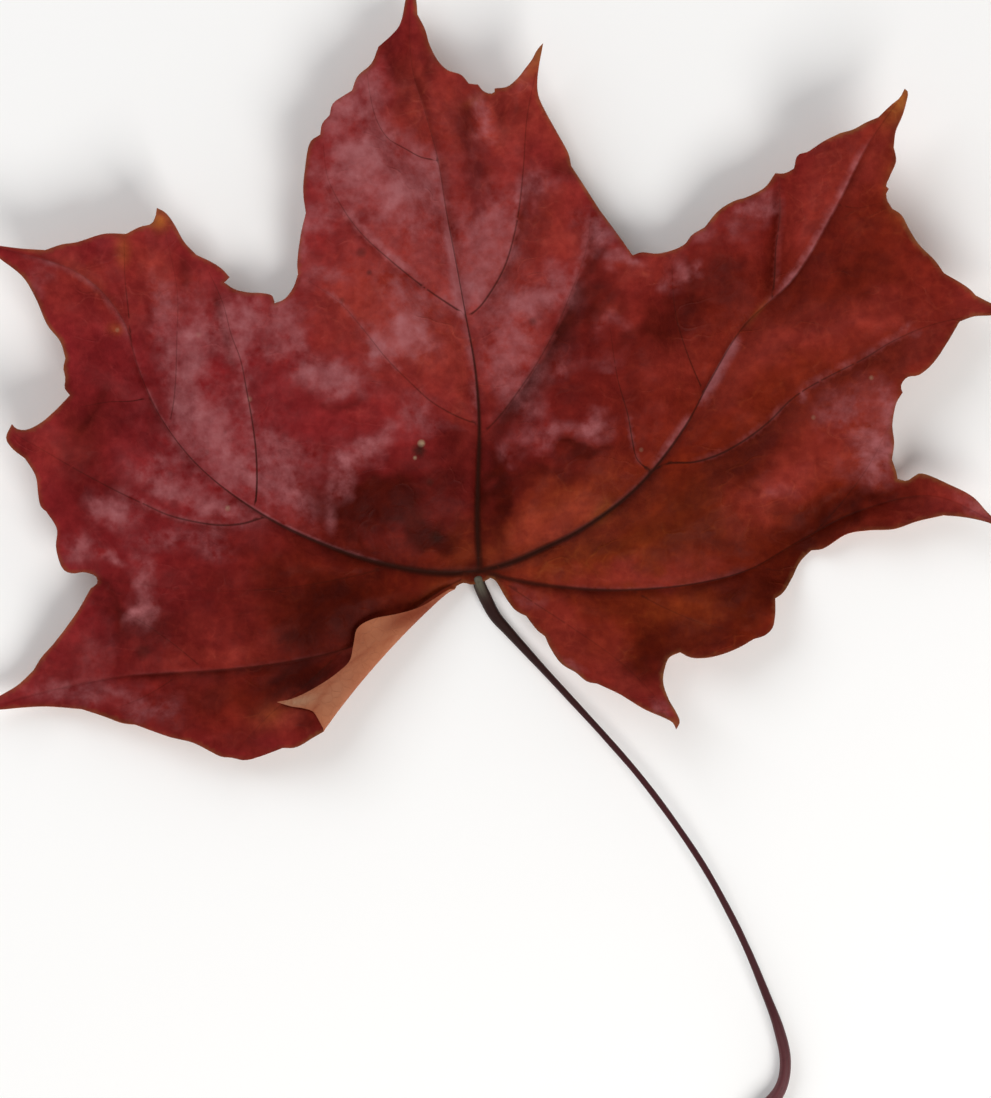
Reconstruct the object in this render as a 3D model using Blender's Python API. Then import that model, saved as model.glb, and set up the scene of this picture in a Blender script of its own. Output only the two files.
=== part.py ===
"""An autumn maple leaf, lying on a flat surface with its upper face up.

Two solids: the blade, a thin sheet with five ribs on its underside and one basal tooth rolled over onto the
upper face, and the stem, a slender bent tube with a swollen foot. Run it with
blender --background --python part.py, or from Blender's text editor.

All the shape data is in millimetres, in the leaf's own plan: x to the right, y from the stem towards the
tip of the middle lobe. The model's origin is on the surface that the leaf lies on, below the hub where the
ribs meet, with +Z up.
"""

import math

import bpy
import numpy as np
from mathutils.geometry import delaunay_2d_cdt

# Driving dimensions, in millimetres.
BLADE_WIDTH = 166.5  # between the outermost lobe tips, left to right: the whole leaf scales with it
PLAN_WIDTH = 166.5  # the same in the plan below
LAMINA = 0.30  # thickness of the blade between its ribs
RIB_DEPTH = 0.95  # how far a rib stands below the blade beside the hub
RIB_END_DEPTH = 0.22  # the same at a lobe's tip
RIB_HALF_WIDTH = 0.75
GROOVE = 0.12  # how far a rib's line is sunk into the upper face
HUB_HEIGHT = 2.30  # from the resting surface to the middle of the blade at the hub
RIB_END_SHARE = 0.45  # a rib's width at a lobe's tip, as a share of its width at the hub
HUB_RADIUS = 2.0  # of the swelling below the hub, which stands on the surface
FOOT_RADIUS = 1.2  # of the swelling's flat foot
FOOT_REACH = 2.8  # how far the swelling would reach down, if the surface didn't cut it off flat
THINNEST = 0.24  # least thickness of the blade, where the surface cuts its underside off
ROLL_RADIUS = 1.15  # of the rolled basal edge, half way along it
ROLL_END_RADIUS = 0.40
ROLL_DIP = 1.0  # how far the roll's outer edge bows inwards half way along
STEM_ARCH = 4.2  # how far the middle of the stem rises off the surface
STEM_ARCH_EASE = 1.3  # how gently the arch begins and ends: 1 is a plain half wave
STEM_START_LIFT = 0.15  # how far its end beside the hub is off the surface

# Mesh steps, in millimetres.
MARGIN_STEP = 2.0
RIB_STEP = 3.0
GRID_STEP = 4.1
CLEAR_OF_LINES = 1.5  # between the grid's points and all others
CLEAR_OF_MARGIN = 0.5  # between the margin and any other point
RIB_ROWS_START = 2.9  # distance from the hub at which the ribs' rows of points begin
ROLL_ROW_POINTS = 12

HUB = np.array([-0.2, 1.1])

# The margin, anticlockwise from the right of the stem. Each run is one smooth curve, and the margin has a
# corner wherever one run ends and the next begins.
RIGHT_BASAL_LOBE = [
    [(0.9, -0.2), (1.5, 0.1), (2.3, -0.4), (4.0, -3.2), (5.5, -5.1), (7.2, -6.0)],
    [(7.2, -6.0), (9.0, -8.3), (10.2, -9.2)],
    [(10.2, -9.2), (11.0, -11.0), (12.8, -13.6), (15.1, -15.0)],
    [(15.1, -15.0), (17.0, -16.5), (18.5, -16.8)],
    [(18.5, -16.8), (22.0, -18.4), (26.0, -20.8), (29.6, -22.4), (30.6, -23.0), (31.1, -24.1)],
    [(31.1, -24.1), (31.7, -22.9), (31.1, -21.3), (30.0, -19.4), (29.1, -16.6), (29.3, -14.5), (30.1, -12.6),
     (31.8, -11.8)],
    [(31.8, -11.8), (33.4, -12.6), (35.6, -12.7), (38.6, -12.1), (41.5, -10.9), (43.6, -9.7)],
    [(43.6, -9.7), (45.4, -9.1), (46.6, -7.9), (47.0, -5.8), (47.0, -3.2)],
    [(47.0, -3.2), (48.2, -2.4), (49.6, -0.3), (51.2, 2.8), (52.9, 4.5)],
    [(52.9, 4.5), (54.6, 4.7), (58.5, 7.1), (62.0, 7.7), (66.0, 7.9), (69.6, 9.1), (73.9, 10.1)],
    [(73.9, 10.1), (77.0, 9.8), (81.0, 8.9), (84.0, 7.4)],
    [(84.0, 7.4), (80.6, 10.8), (78.5, 13.0), (75.0, 14.9), (70.2, 16.8), (69.2, 16.3), (68.1, 15.6),
     (66.7, 15.9)],
]
RIGHT_LOBE = [
    [(66.7, 15.9), (66.3, 17.4), (65.7, 19.0)],
    [(65.7, 19.0), (66.0, 21.5), (65.7, 24.5), (66.3, 28.0), (67.3, 29.7)],
    [(67.3, 29.7), (67.0, 30.5), (67.3, 31.4), (68.2, 32.2), (69.7, 32.4), (72.0, 34.2), (74.5, 37.8),
     (76.4, 41.0)],
    [(76.4, 41.0), (78.6, 41.8), (81.5, 42.0), (84.9, 42.5)],
    [(84.9, 42.5), (81.4, 43.9), (78.9, 45.1)],
    [(78.9, 45.1), (77.8, 46.2), (73.8, 48.7)],
    [(73.8, 48.7), (72.4, 50.7), (69.8, 53.3), (68.2, 55.8), (67.0, 58.0), (65.6, 59.0)],
    [(65.6, 59.0), (64.8, 60.3), (64.6, 61.4), (65.0, 62.1), (64.7, 62.8), (65.2, 64.2), (66.1, 66.6),
     (65.7, 68.7)],
    [(65.7, 68.7), (66.0, 71.2), (67.0, 73.6), (67.7, 76.0), (67.9, 77.4), (67.4, 77.9)],
    [(67.4, 77.9), (66.6, 76.5), (65.4, 75.5), (63.3, 73.5)],
    [(63.3, 73.5), (61.4, 72.7), (59.4, 71.6), (57.3, 71.0)],
    [(57.3, 71.0), (54.8, 69.8), (52.0, 68.0), (50.5, 67.5), (50.0, 65.5)],
    [(50.0, 65.5), (48.5, 64.7), (47.0, 64.7)],
    [(47.0, 64.7), (45.4, 62.5), (42.4, 60.9), (40.4, 60.3), (38.0, 58.8), (35.7, 56.1)],
    [(35.7, 56.1), (33.7, 54.9), (32.5, 53.4), (30.4, 52.4), (28.0, 51.9), (25.6, 52.1), (24.2, 51.6)],
]
MIDDLE_LOBE = [
    [(24.2, 51.6), (21.4, 55.6), (19.0, 58.9), (16.6, 62.6), (14.4, 65.9)],
    [(14.4, 65.9), (14.0, 67.7), (12.0, 71.4), (10.2, 74.6), (9.1, 77.2), (9.0, 80.0), (9.9, 85.3)],
    [(9.9, 85.3), (8.8, 83.7), (7.2, 81.4), (5.8, 79.7), (4.2, 78.5), (2.2, 78.2)],
    [(2.2, 78.2), (2.1, 77.5), (1.2, 77.4), (0.2, 77.9), (-0.5, 78.8), (-2.0, 79.0)],
    [(-2.0, 79.0), (-3.2, 80.4), (-5.4, 81.2), (-6.9, 82.7), (-8.3, 85.4), (-9.0, 87.8), (-10.2, 90.2)],
    [(-10.2, 90.2), (-10.4, 92.6), (-11.4, 96.0)],
    [(-11.4, 96.0), (-12.1, 92.5), (-13.0, 88.5), (-14.6, 86.5), (-16.4, 84.9)],
    [(-16.4, 84.9), (-17.5, 82.3), (-19.7, 80.2), (-20.6, 77.9)],
    [(-20.6, 77.9), (-22.2, 76.9), (-23.7, 75.8), (-24.2, 74.0)],
    [(-24.2, 74.0), (-25.4, 72.6), (-25.7, 70.9)],
    [(-25.7, 70.9), (-27.2, 69.8), (-28.1, 65.5), (-28.4, 61.5), (-28.0, 58.4)],
    [(-28.0, 58.4), (-28.8, 55.0), (-29.4, 50.3), (-29.3, 48.6)],
    [(-29.3, 48.6), (-30.0, 46.6), (-31.4, 44.7), (-33.0, 44.0)],
]
LEFT_LOBE = [
    [(-33.0, 44.0), (-33.4, 45.2), (-35.0, 45.6), (-37.2, 45.7), (-39.4, 46.2), (-41.1, 47.3)],
    [(-41.1, 47.3), (-40.9, 47.9), (-40.2, 48.1)],
    [(-40.2, 48.1), (-41.5, 49.5), (-43.2, 50.6), (-45.5, 51.7)],
    [(-45.5, 51.7), (-47.4, 53.7), (-49.2, 56.9), (-50.4, 58.4), (-51.7, 59.1)],
    [(-51.7, 59.1), (-52.0, 57.6), (-52.6, 56.6), (-54.4, 56.1), (-56.7, 55.0)],
    [(-56.7, 55.0), (-60.2, 55.0), (-64.5, 53.7), (-67.0, 53.3), (-69.6, 52.4)],
    [(-69.6, 52.4), (-73.2, 52.6), (-77.0, 53.1), (-80.2, 53.6)],
    [(-80.2, 53.6), (-77.0, 51.2), (-73.0, 48.0), (-71.0, 44.6), (-69.2, 40.4), (-67.2, 37.8), (-66.4, 35.2)],
    [(-66.4, 35.2), (-66.7, 33.6), (-66.4, 32.0), (-66.5, 30.4), (-65.7, 29.3)],
    [(-65.7, 29.3), (-68.0, 26.8), (-70.3, 24.8), (-72.6, 23.7), (-74.1, 23.9), (-74.8, 24.6)],
    [(-74.8, 24.6), (-75.7, 22.4), (-74.9, 20.9), (-72.7, 19.1)],
    [(-72.7, 19.1), (-71.1, 16.3), (-70.7, 13.0), (-70.3, 11.4), (-69.5, 10.7)],
    [(-69.5, 10.7), (-67.8, 7.9), (-67.9, 4.8), (-66.7, 1.4), (-65.4, 0.8), (-63.4, 1.0), (-61.5, 0.2),
     (-61.4, -0.8), (-62.4, -1.6)],
]
LEFT_BASAL_LOBE = [
    [(-62.4, -1.6), (-64.8, -5.7), (-68.4, -10.5), (-70.3, -12.6), (-71.6, -14.7)],
    [(-71.6, -14.7), (-74.0, -17.0), (-77.0, -18.8), (-81.6, -21.4)],
    [(-81.6, -21.4), (-77.0, -21.0), (-70.0, -20.5), (-63.9, -20.9)],
    [(-63.9, -20.9), (-60.0, -22.2), (-57.5, -23.1), (-55.3, -23.4)],
    [(-55.3, -23.4), (-50.0, -25.3), (-46.0, -26.3), (-43.4, -27.6), (-41.6, -28.5), (-39.9, -28.7)],
    [(-39.9, -28.7), (-37.8, -29.1), (-35.4, -28.5), (-31.7, -27.1)],
    [(-31.7, -27.1), (-29.6, -27.0), (-26.6, -25.3), (-25.2, -24.5)],
]
# The rolled tooth's margin, where it lies over the blade.
ROLLED_TOOTH = [
    [(-25.2, -24.0), (-26.0, -22.5), (-26.8, -21.3), (-28.6, -20.7), (-30.6, -20.4), (-32.6, -19.8)],
    [(-32.6, -19.8), (-29.0, -18.8), (-25.2, -16.7), (-22.6, -14.8), (-21.0, -13.2), (-20.4, -10.6),
     (-19.8, -8.0), (-17.6, -6.6), (-13.0, -5.6), (-9.6, -4.5), (-6.0, -2.3)],
]
HUB_EDGE = [[(-3.9, -1.2), (-2.8, -0.7), (-1.7, -1.0), (-0.4, -0.8), (0.9, -0.2)]]

# The roll's outer edge, seen from above: where it leaves the margin beside the hub, and where it meets it again.
ROLL_START = np.array([-4.6, -1.6])
ROLL_END = np.array([-25.1, -24.3])
ROLL_END_SLANT = 0.5  # how far past its end the rolled tooth reaches, as a share of the distance from the roll

# The five ribs, from the hub to the tips of the lobes.
RIBS = {
    "middle": [(-0.2, 1.1), (-0.6, 8.0), (-0.5, 16.0), (-0.3, 25.0), (-1.0, 34.0), (-2.4, 41.8), (-3.9, 50.0),
               (-5.6, 59.0), (-6.9, 67.0), (-9.0, 74.8), (-11.1, 82.0), (-11.4, 94.4)],
    "left": [(-0.2, 1.1), (-5.0, 0.8), (-10.0, 1.2), (-16.0, 2.4), (-22.0, 4.2), (-34.0, 9.6), (-45.0, 17.7),
             (-51.5, 26.0), (-55.0, 33.8), (-57.4, 41.5), (-64.0, 48.6), (-78.6, 53.2)],
    "right": [(-0.2, 1.1), (5.0, 2.6), (10.0, 4.8), (16.0, 7.8), (25.0, 14.6), (32.5, 24.0), (36.6, 31.5),
              (42.0, 40.3), (50.0, 48.0), (56.6, 59.0), (61.5, 68.8), (66.9, 76.8)],
    "right_basal": [(-0.2, 1.1), (6.0, -0.4), (12.0, -1.3), (22.0, -1.9), (34.0, -0.9), (43.0, 1.5),
                    (51.0, 6.0), (60.0, 10.6), (72.0, 13.2), (82.4, 8.9)],
    "left_basal": [(-0.2, 1.1), (-6.0, -1.6), (-13.0, -6.4), (-20.5, -10.8), (-30.0, -13.2), (-42.0, -14.7),
                   (-57.0, -15.7), (-70.0, -18.2), (-79.8, -21.0)],
}

# Height of the ribs' middle above the surface, by distance from the hub: they arch, touch down and lift.
RIB_ARCH = [(0.0, HUB_HEIGHT), (12.0, 3.1), (26.0, 3.7), (40.0, 2.3), (54.0, 0.8), (66.0, 1.5), (80.0, 4.4),
            (96.0, 9.0), (112.0, 13.5)]
PUFF = 3.2  # how far the blade rises between the ribs
PUFF_REACH = 10.0  # distance from a rib over which it rises
HUB_STIFFNESS = 16.0  # distance from the hub over which the puffs and the margin's waves grow
HEM_LIFT = 2.4  # how far the margin waves up
HEM_WIDTH = 6.0
HEM_MEAN = 0.45  # share of the lift that the whole margin has
HEM_SWING = 0.35  # share of the lift that the waves add and take away
RIPPLES = [(23, 1.0, 0.0), (37, 0.6, 1.3)]  # waves round the margin: how many, how strong, and their phase
RIPPLE_BLEND = 3.0  # distance over which neighbouring places of the margin blend

# Single swellings and hollows of the dried blade: centre, half sizes along and across, turn in degrees, height.
WAVES = [
    ((0.5, 74.0), 5.0, 2.8, 80, 2.2),
    ((-3.0, 68.0), 11.0, 2.6, 97, -1.4),
    ((-18.0, 62.0), 14.0, 8.0, 120, 2.0),
    ((13.0, 55.0), 12.0, 6.0, 120, 1.6),
    ((-48.0, 36.0), 16.0, 4.0, 100, 2.2),
    ((-62.0, 44.0), 8.0, 3.0, 140, 1.8),
    ((-58.0, 20.0), 9.0, 8.0, 0, 1.4),
    ((-55.0, -3.0), 9.0, 4.0, 80, 2.4),
    ((-30.0, -22.0), 5.0, 3.5, 20, 1.5),
    ((48.0, 55.0), 10.0, 2.4, 88, -2.0),
    ((62.0, 24.0), 9.0, 7.0, 60, 2.4),
    ((56.0, 12.0), 14.0, 3.5, 25, -1.8),
    ((30.0, -10.0), 7.0, 4.0, 100, -2.2),
    ((42.0, -4.0), 8.0, 4.0, 60, 1.8),
    ((-20.0, 30.0), 12.0, 8.0, 30, 1.6),
    ((24.0, 36.0), 10.0, 10.0, 0, 1.5),
    ((-53.0, 29.0), 14.0, 8.0, 60, -0.75),
    ((-4.5, 57.0), 12.0, 7.0, 95, -0.4),
    ((-50.0, -16.0), 12.0, 6.0, 0, -0.4),
]
# Lift of the lobes' and teeth's tips: place, reach, height.
TIP_CURLS = [
    ((-11.4, 96.0), 12.0, -3.5),
    ((9.9, 85.3), 9.0, 3.0),
    ((67.4, 77.9), 14.0, 4.0),
    ((84.9, 42.5), 12.0, -2.5),
    ((84.0, 7.4), 13.0, 3.5),
    ((31.1, -24.1), 9.0, 3.5),
    ((-80.2, 53.6), 12.0, 2.5),
    ((-51.7, 59.1), 7.0, 2.5),
    ((-74.8, 24.6), 7.0, 3.0),
    ((-81.6, -21.4), 12.0, -1.5),
]

# The stem's middle line in plan, from the hub to its foot, and its diameter along its length (share, mm).
STEM_ROUTE = [(-0.25, -1.2), (0.8, -3.4), (2.2, -6.0), (4.3, -8.4), (8.3, -12.8), (13.75, -18.7), (19.9, -25.4),
              (25.2, -31.5), (30.3, -38.2), (35.5, -45.9), (39.8, -53.6), (42.75, -59.7), (45.55, -66.5),
              (47.55, -71.8), (48.7, -77.0), (48.2, -81.1), (46.0, -84.7), (43.9, -87.4)]
STEM_DIAMETERS = [(0.0, 2.1), (0.06, 1.9), (0.13, 1.35), (0.24, 1.05), (0.5, 1.0), (0.72, 1.15), (0.85, 1.7),
                   (0.92, 1.9), (0.97, 2.8), (1.0, 3.3)]
STEM_RINGS = 46
STEM_SIDES = 12

BLADE_RED = (0.17, 0.013, 0.012, 1.0)
BLADE_ROUGHNESS = 0.55
STEM_BROWN = (0.035, 0.012, 0.013, 1.0)
STEM_ROUGHNESS = 0.5
SHARP_ANGLE = 50  # degrees between two faces beyond which their edge is shaded sharp


def smooth_curve(points, step):
    """Points every step or so along the centripetal Catmull-Rom curve through the given ones, ends included."""
    points = np.array(points, float)
    if len(points) < 3:
        count = max(2, round(np.linalg.norm(points[-1] - points[0]) / step) + 1)
        return points[0] + (points[-1] - points[0]) * np.linspace(0, 1, count)[:, None]
    padded = np.vstack([2 * points[0] - points[1], points, 2 * points[-1] - points[-2]])
    knots = np.concatenate([[0], np.cumsum(np.linalg.norm(np.diff(padded, axis=0), axis=1) ** 0.5)])
    fine = []
    for i in range(1, len(padded) - 2):
        t0, t1, t2, t3 = knots[i - 1:i + 3]
        t = np.linspace(t1, t2, 24, endpoint=False)[:, None]
        p0, p1, p2, p3 = padded[i - 1:i + 3]
        a1 = (t1 - t) / (t1 - t0) * p0 + (t - t0) / (t1 - t0) * p1
        a2 = (t2 - t) / (t2 - t1) * p1 + (t - t1) / (t2 - t1) * p2
        a3 = (t3 - t) / (t3 - t2) * p2 + (t - t2) / (t3 - t2) * p3
        b1 = (t2 - t) / (t2 - t0) * a1 + (t - t0) / (t2 - t0) * a2
        b2 = (t3 - t) / (t3 - t1) * a2 + (t - t1) / (t3 - t1) * a3
        fine.append((t2 - t) / (t2 - t1) * b1 + (t - t1) / (t2 - t1) * b2)
    fine = np.vstack(fine + [points[-1:]])
    along = np.concatenate([[0], np.cumsum(np.linalg.norm(np.diff(fine, axis=0), axis=1))])
    even = np.linspace(0, along[-1], max(2, round(along[-1] / step) + 1))
    return np.stack([np.interp(even, along, fine[:, k]) for k in range(fine.shape[1])], axis=1)


def distance_to(points, path):
    """Each point's distance to a polyline, and how far along the polyline the nearest place is, from 0 to 1."""
    lengths = np.linalg.norm(np.diff(path, axis=0), axis=1)
    before = np.concatenate([[0], np.cumsum(lengths)])
    nearest = np.full(len(points), np.inf)
    share = np.zeros(len(points))
    for start, end, length, so_far in zip(path[:-1], path[1:], lengths, before):
        t = np.clip((points - start) @ (end - start) / length**2, 0, 1)
        gap = np.linalg.norm(points - start - t[:, None] * (end - start), axis=1)
        closer = gap < nearest
        nearest[closer] = gap[closer]
        share[closer] = (so_far + t[closer] * length) / before[-1]
    return nearest, share


def roll_frame(points):
    """At each point: the roll's radius, the line where it starts, and the point's place across and along the roll.

    The last value is the way across. Places are in millimetres, from the end of the roll beside the hub.
    """
    length = np.linalg.norm(ROLL_END - ROLL_START)
    along = (ROLL_END - ROLL_START) / length
    across = np.array([-along[1], along[0]])
    onward = (points - ROLL_START) @ along
    swell = np.sin(math.pi * np.clip(onward / length, 0, 1)) ** 0.7
    radius = ROLL_END_RADIUS + (ROLL_RADIUS - ROLL_END_RADIUS) * swell
    return radius, -ROLL_DIP * swell - radius, (points - ROLL_START) @ across, onward, across


def unrolled(points):
    """Plan points of the rolled tooth, given where they lie over the blade, laid out flat beyond the roll."""
    points = np.array(points, float)
    radius, start, place, _, across = roll_frame(points)
    return points + across * (2 * start + math.pi * radius - 2 * place)[:, None]


def rolled(points):
    """Where flat plan points go once the basal edge is rolled over: their new plan, and their rise.

    Points past either end of the roll stay: its far end is the notch between the tooth and the rest of the lobe.
    """
    radius, start, place, onward, across = roll_frame(points)
    length = np.linalg.norm(ROLL_END - ROLL_START)
    rolls = (onward > 0) & (onward < length + ROLL_END_SLANT * place)
    beyond = np.where(rolls, np.maximum(place - start, 0), 0)
    turn = np.minimum(beyond / radius, math.pi)
    over = np.maximum(beyond - math.pi * radius, 0)
    shift = radius * np.sin(turn) - over - beyond
    return points + across * shift[:, None], radius * (1 - np.cos(turn))


def margin():
    """The blade's closed margin as flat plan points, with every corner kept."""
    laid_flat = [[tuple(p) for p in unrolled(run)] for run in ROLLED_TOOTH]
    runs = RIGHT_BASAL_LOBE + RIGHT_LOBE + MIDDLE_LOBE + LEFT_LOBE + LEFT_BASAL_LOBE
    runs = runs + [[runs[-1][-1], laid_flat[0][0]]] + laid_flat + [[laid_flat[-1][-1], HUB_EDGE[0][0]]] + HUB_EDGE
    return np.vstack([smooth_curve(run, MARGIN_STEP)[:-1] for run in runs])


def inside(points, outline):
    """Which points lie inside the closed outline, by counting its crossings to the right of each."""
    found = np.zeros(len(points), bool)
    for (x0, y0), (x1, y1) in zip(outline, np.roll(outline, -1, axis=0)):
        spans = (y0 > points[:, 1]) != (y1 > points[:, 1])
        if y0 != y1:
            found ^= spans & (points[:, 0] < x0 + (points[:, 1] - y0) / (y1 - y0) * (x1 - x0))
    return found


def rib_rows(outline):
    """Rows of points down each rib and along both of its flanks, and the pairs that join each row's points."""
    rows, pairs, count = [], [], 0
    for route in RIBS.values():
        middle = smooth_curve(route, RIB_STEP)
        heading = np.gradient(middle, axis=0)
        heading /= np.linalg.norm(heading, axis=1)[:, None]
        side = np.stack([-heading[:, 1], heading[:, 0]], axis=1)
        taper = np.linspace(1, RIB_END_SHARE, len(middle))[:, None]
        for offset in (-RIB_HALF_WIDTH, 0, RIB_HALF_WIDTH):
            row = middle + side * offset * taper
            away = np.linalg.norm(row - HUB, axis=1) > RIB_ROWS_START
            clear = away & inside(row, outline) & (distance_to(row, outline)[0] > CLEAR_OF_MARGIN)
            row = row[clear]
            rows.append(row)
            pairs += [(count + i, count + i + 1) for i in range(len(row) - 1)]
            count += len(row)
    return np.vstack(rows), pairs


def hub_rings(outline):
    """The hub's middle and two rings round it, the inner one being the foot that the leaf stands on."""
    rings = [HUB[None]]
    for radius, count in ((FOOT_RADIUS, 8), (HUB_RADIUS, 12)):
        turn = np.arange(count) * 2 * math.pi / count
        rings.append(HUB + radius * np.stack([np.cos(turn), np.sin(turn)], axis=1))
    rings = np.vstack(rings)
    return rings[inside(rings, outline) & (distance_to(rings, outline)[0] > CLEAR_OF_MARGIN)]


def roll_rows(outline):
    """Rows of points round the roll, an eighth of a turn apart, so that it stays round."""
    share = np.linspace(0, 1, ROLL_ROW_POINTS)[:, None]
    line = ROLL_START + (ROLL_END - ROLL_START) * share
    radius, start, _, _, across = roll_frame(line)
    rows = [line + across * (start + radius * math.pi * eighth / 4)[:, None] for eighth in range(5)]
    rows = np.vstack(rows)
    return rows[inside(rows, outline) & (distance_to(rows, outline)[0] > CLEAR_OF_MARGIN)]


def grid(outline, others):
    """A grid of equal triangles' corners inside the margin, clear of it and of the other points."""
    low, high = outline.min(0), outline.max(0)
    rows = np.arange(low[1], high[1], GRID_STEP * math.sqrt(3) / 2)
    columns = np.arange(low[0], high[0], GRID_STEP)
    x = columns[None] + (np.arange(len(rows)) % 2 * GRID_STEP / 2)[:, None]
    points = np.stack([x, np.repeat(rows[:, None], len(columns), 1)], axis=-1).reshape(-1, 2)
    points = points[inside(points, outline)]
    closed = np.vstack([outline, outline[:1]])
    points = points[distance_to(points, closed)[0] > CLEAR_OF_LINES]
    gaps = np.linalg.norm(points[:, None] - others[None], axis=2).min(axis=1)
    return points[gaps > CLEAR_OF_LINES]


def margin_ripple(points, outline):
    """The up and down of the margin near each point: a blend over the margin, weighted to its nearest places."""
    steps = np.linalg.norm(np.roll(outline, -1, axis=0) - outline, axis=1)
    around = 2 * math.pi * (np.cumsum(steps) - steps) / steps.sum()
    waves = sum(strength * np.sin(count * around + phase) for count, strength, phase in RIPPLES)
    gap = ((points[:, None] - outline[None]) ** 2).sum(axis=2)
    weight = np.exp(-(gap - gap.min(axis=1)[:, None]) / RIPPLE_BLEND**2)
    return weight @ waves / weight.sum(axis=1)


def height(points, outline):
    """Height of the blade's middle surface over plan points: arched ribs, puffed fields, waves, curled tips."""
    arch = smooth_curve(RIB_ARCH, 1.0)
    from_hub = np.linalg.norm(points - HUB, axis=1)
    z = np.interp(from_hub, arch[:, 0], arch[:, 1])
    to_rib = np.min([distance_to(points, smooth_curve(r, 2.0))[0] for r in RIBS.values()], axis=0)
    near_hub = 1 - np.exp(-((from_hub / HUB_STIFFNESS) ** 2))
    z += PUFF * near_hub * (1 - np.exp(-((to_rib / PUFF_REACH) ** 2)))
    closed = np.vstack([outline, outline[:1]])
    hem = HEM_LIFT * near_hub * np.exp(-((distance_to(points, closed)[0] / HEM_WIDTH) ** 2))
    z += hem * (HEM_MEAN + HEM_SWING * margin_ripple(points, outline))
    for centre, long_half, short_half, turn, rise in WAVES:
        c, s = math.cos(math.radians(turn)), math.sin(math.radians(turn))
        u, v = (points - centre) @ [c, s] / long_half, (points - centre) @ [-s, c] / short_half
        z += rise * np.exp(-(u**2 + v**2))
    for tip, reach, rise in TIP_CURLS:
        z += rise * np.exp(-(np.linalg.norm(points - tip, axis=1) / reach) ** 2)
    return z


def rib_depth(points):
    """How far the underside stands below the plain blade: ridges under the ribs, and the hub's swelling."""
    depth = np.zeros(len(points))
    for route in RIBS.values():
        gap, share = distance_to(points, smooth_curve(route, 2.0))
        full = RIB_DEPTH + (RIB_END_DEPTH - RIB_DEPTH) * share**0.7
        half = RIB_HALF_WIDTH * (1 - (1 - RIB_END_SHARE) * share)
        depth = np.maximum(depth, full * np.clip(1 - gap / half, 0, 1))
    from_hub = np.linalg.norm(points - HUB, axis=1)
    foot = FOOT_REACH * np.clip((HUB_RADIUS - from_hub) / (HUB_RADIUS - FOOT_RADIUS), 0, 1)
    return np.maximum(depth, foot)


def mesh_object(name, points, faces, colour, roughness):
    """A smooth-shaded mesh object with its own plain material, from points in the plan's millimetres."""
    metres = BLADE_WIDTH / PLAN_WIDTH / 1000
    mesh = bpy.data.meshes.new(name)
    mesh.from_pydata(((points - [*HUB, 0]) * metres).tolist(), [], [list(map(int, f)) for f in faces])
    mesh.update()
    mesh.shade_smooth()
    mesh.set_sharp_from_angle(angle=math.radians(SHARP_ANGLE))
    material = bpy.data.materials.new(name)
    material.use_nodes = True
    shader = material.node_tree.nodes["Principled BSDF"]
    shader.inputs["Base Color"].default_value = colour
    shader.inputs["Roughness"].default_value = roughness
    mesh.materials.append(material)
    bpy.context.scene.collection.objects.link(bpy.data.objects.new(name, mesh))


def vertex_normals(points, faces):
    """Unit normals at the points, from the faces round each."""
    corners = points[faces]
    face_normals = np.cross(corners[:, 1] - corners[:, 0], corners[:, 2] - corners[:, 0])
    normals = np.zeros_like(points)
    for k in range(3):
        np.add.at(normals, faces[:, k], face_normals)
    return normals / np.linalg.norm(normals, axis=1)[:, None]


def make_blade():
    """The blade: its plan cut into triangles, raised to the dried leaf's shape, rolled, and given thickness."""
    outline = margin()
    ribs, pairs = rib_rows(outline)
    fixed = np.vstack([ribs, hub_rings(outline), roll_rows(outline)])
    plan = np.vstack([outline, fixed, grid(outline, fixed)])
    rim = len(outline)
    edges = [(i, (i + 1) % rim) for i in range(rim)] + [(rim + a, rim + b) for a, b in pairs]
    flat, _, faces, *_ = delaunay_2d_cdt(plan.tolist(), edges, [], 1, 1e-5)
    flat = np.array([tuple(p) for p in flat])
    faces = np.array(faces)
    corners = flat[faces]
    middle = corners.mean(axis=1)
    faces = faces[inside(middle, outline)]

    place, rise = rolled(flat)
    z = height(place, outline) + rise
    surface = np.column_stack([place, z])
    normals = vertex_normals(surface, faces)
    groove = GROOVE * np.clip(rib_depth(flat) / RIB_DEPTH, 0, 1)
    upper = surface + normals * (LAMINA / 2 - groove)[:, None]
    lower = surface - normals * (LAMINA / 2 + rib_depth(flat))[:, None]
    lower[:, 2] = np.maximum(lower[:, 2], 0)
    upper[:, 2] = np.maximum(upper[:, 2], lower[:, 2] + THINNEST)

    ends = np.vstack([faces[:, [0, 1]], faces[:, [1, 2]], faces[:, [2, 0]]])
    directed = {tuple(e) for e in ends}
    border = np.array([e for e in directed if (e[1], e[0]) not in directed])
    count = len(flat)
    walls = np.vstack([
        np.column_stack([border[:, 1], border[:, 0], border[:, 0] + count]),
        np.column_stack([border[:, 1], border[:, 0] + count, border[:, 1] + count]),
    ])
    faces = np.vstack([faces, faces[:, ::-1] + count, walls])
    mesh_object("blade", np.vstack([upper, lower]), faces, BLADE_RED, BLADE_ROUGHNESS)


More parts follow.
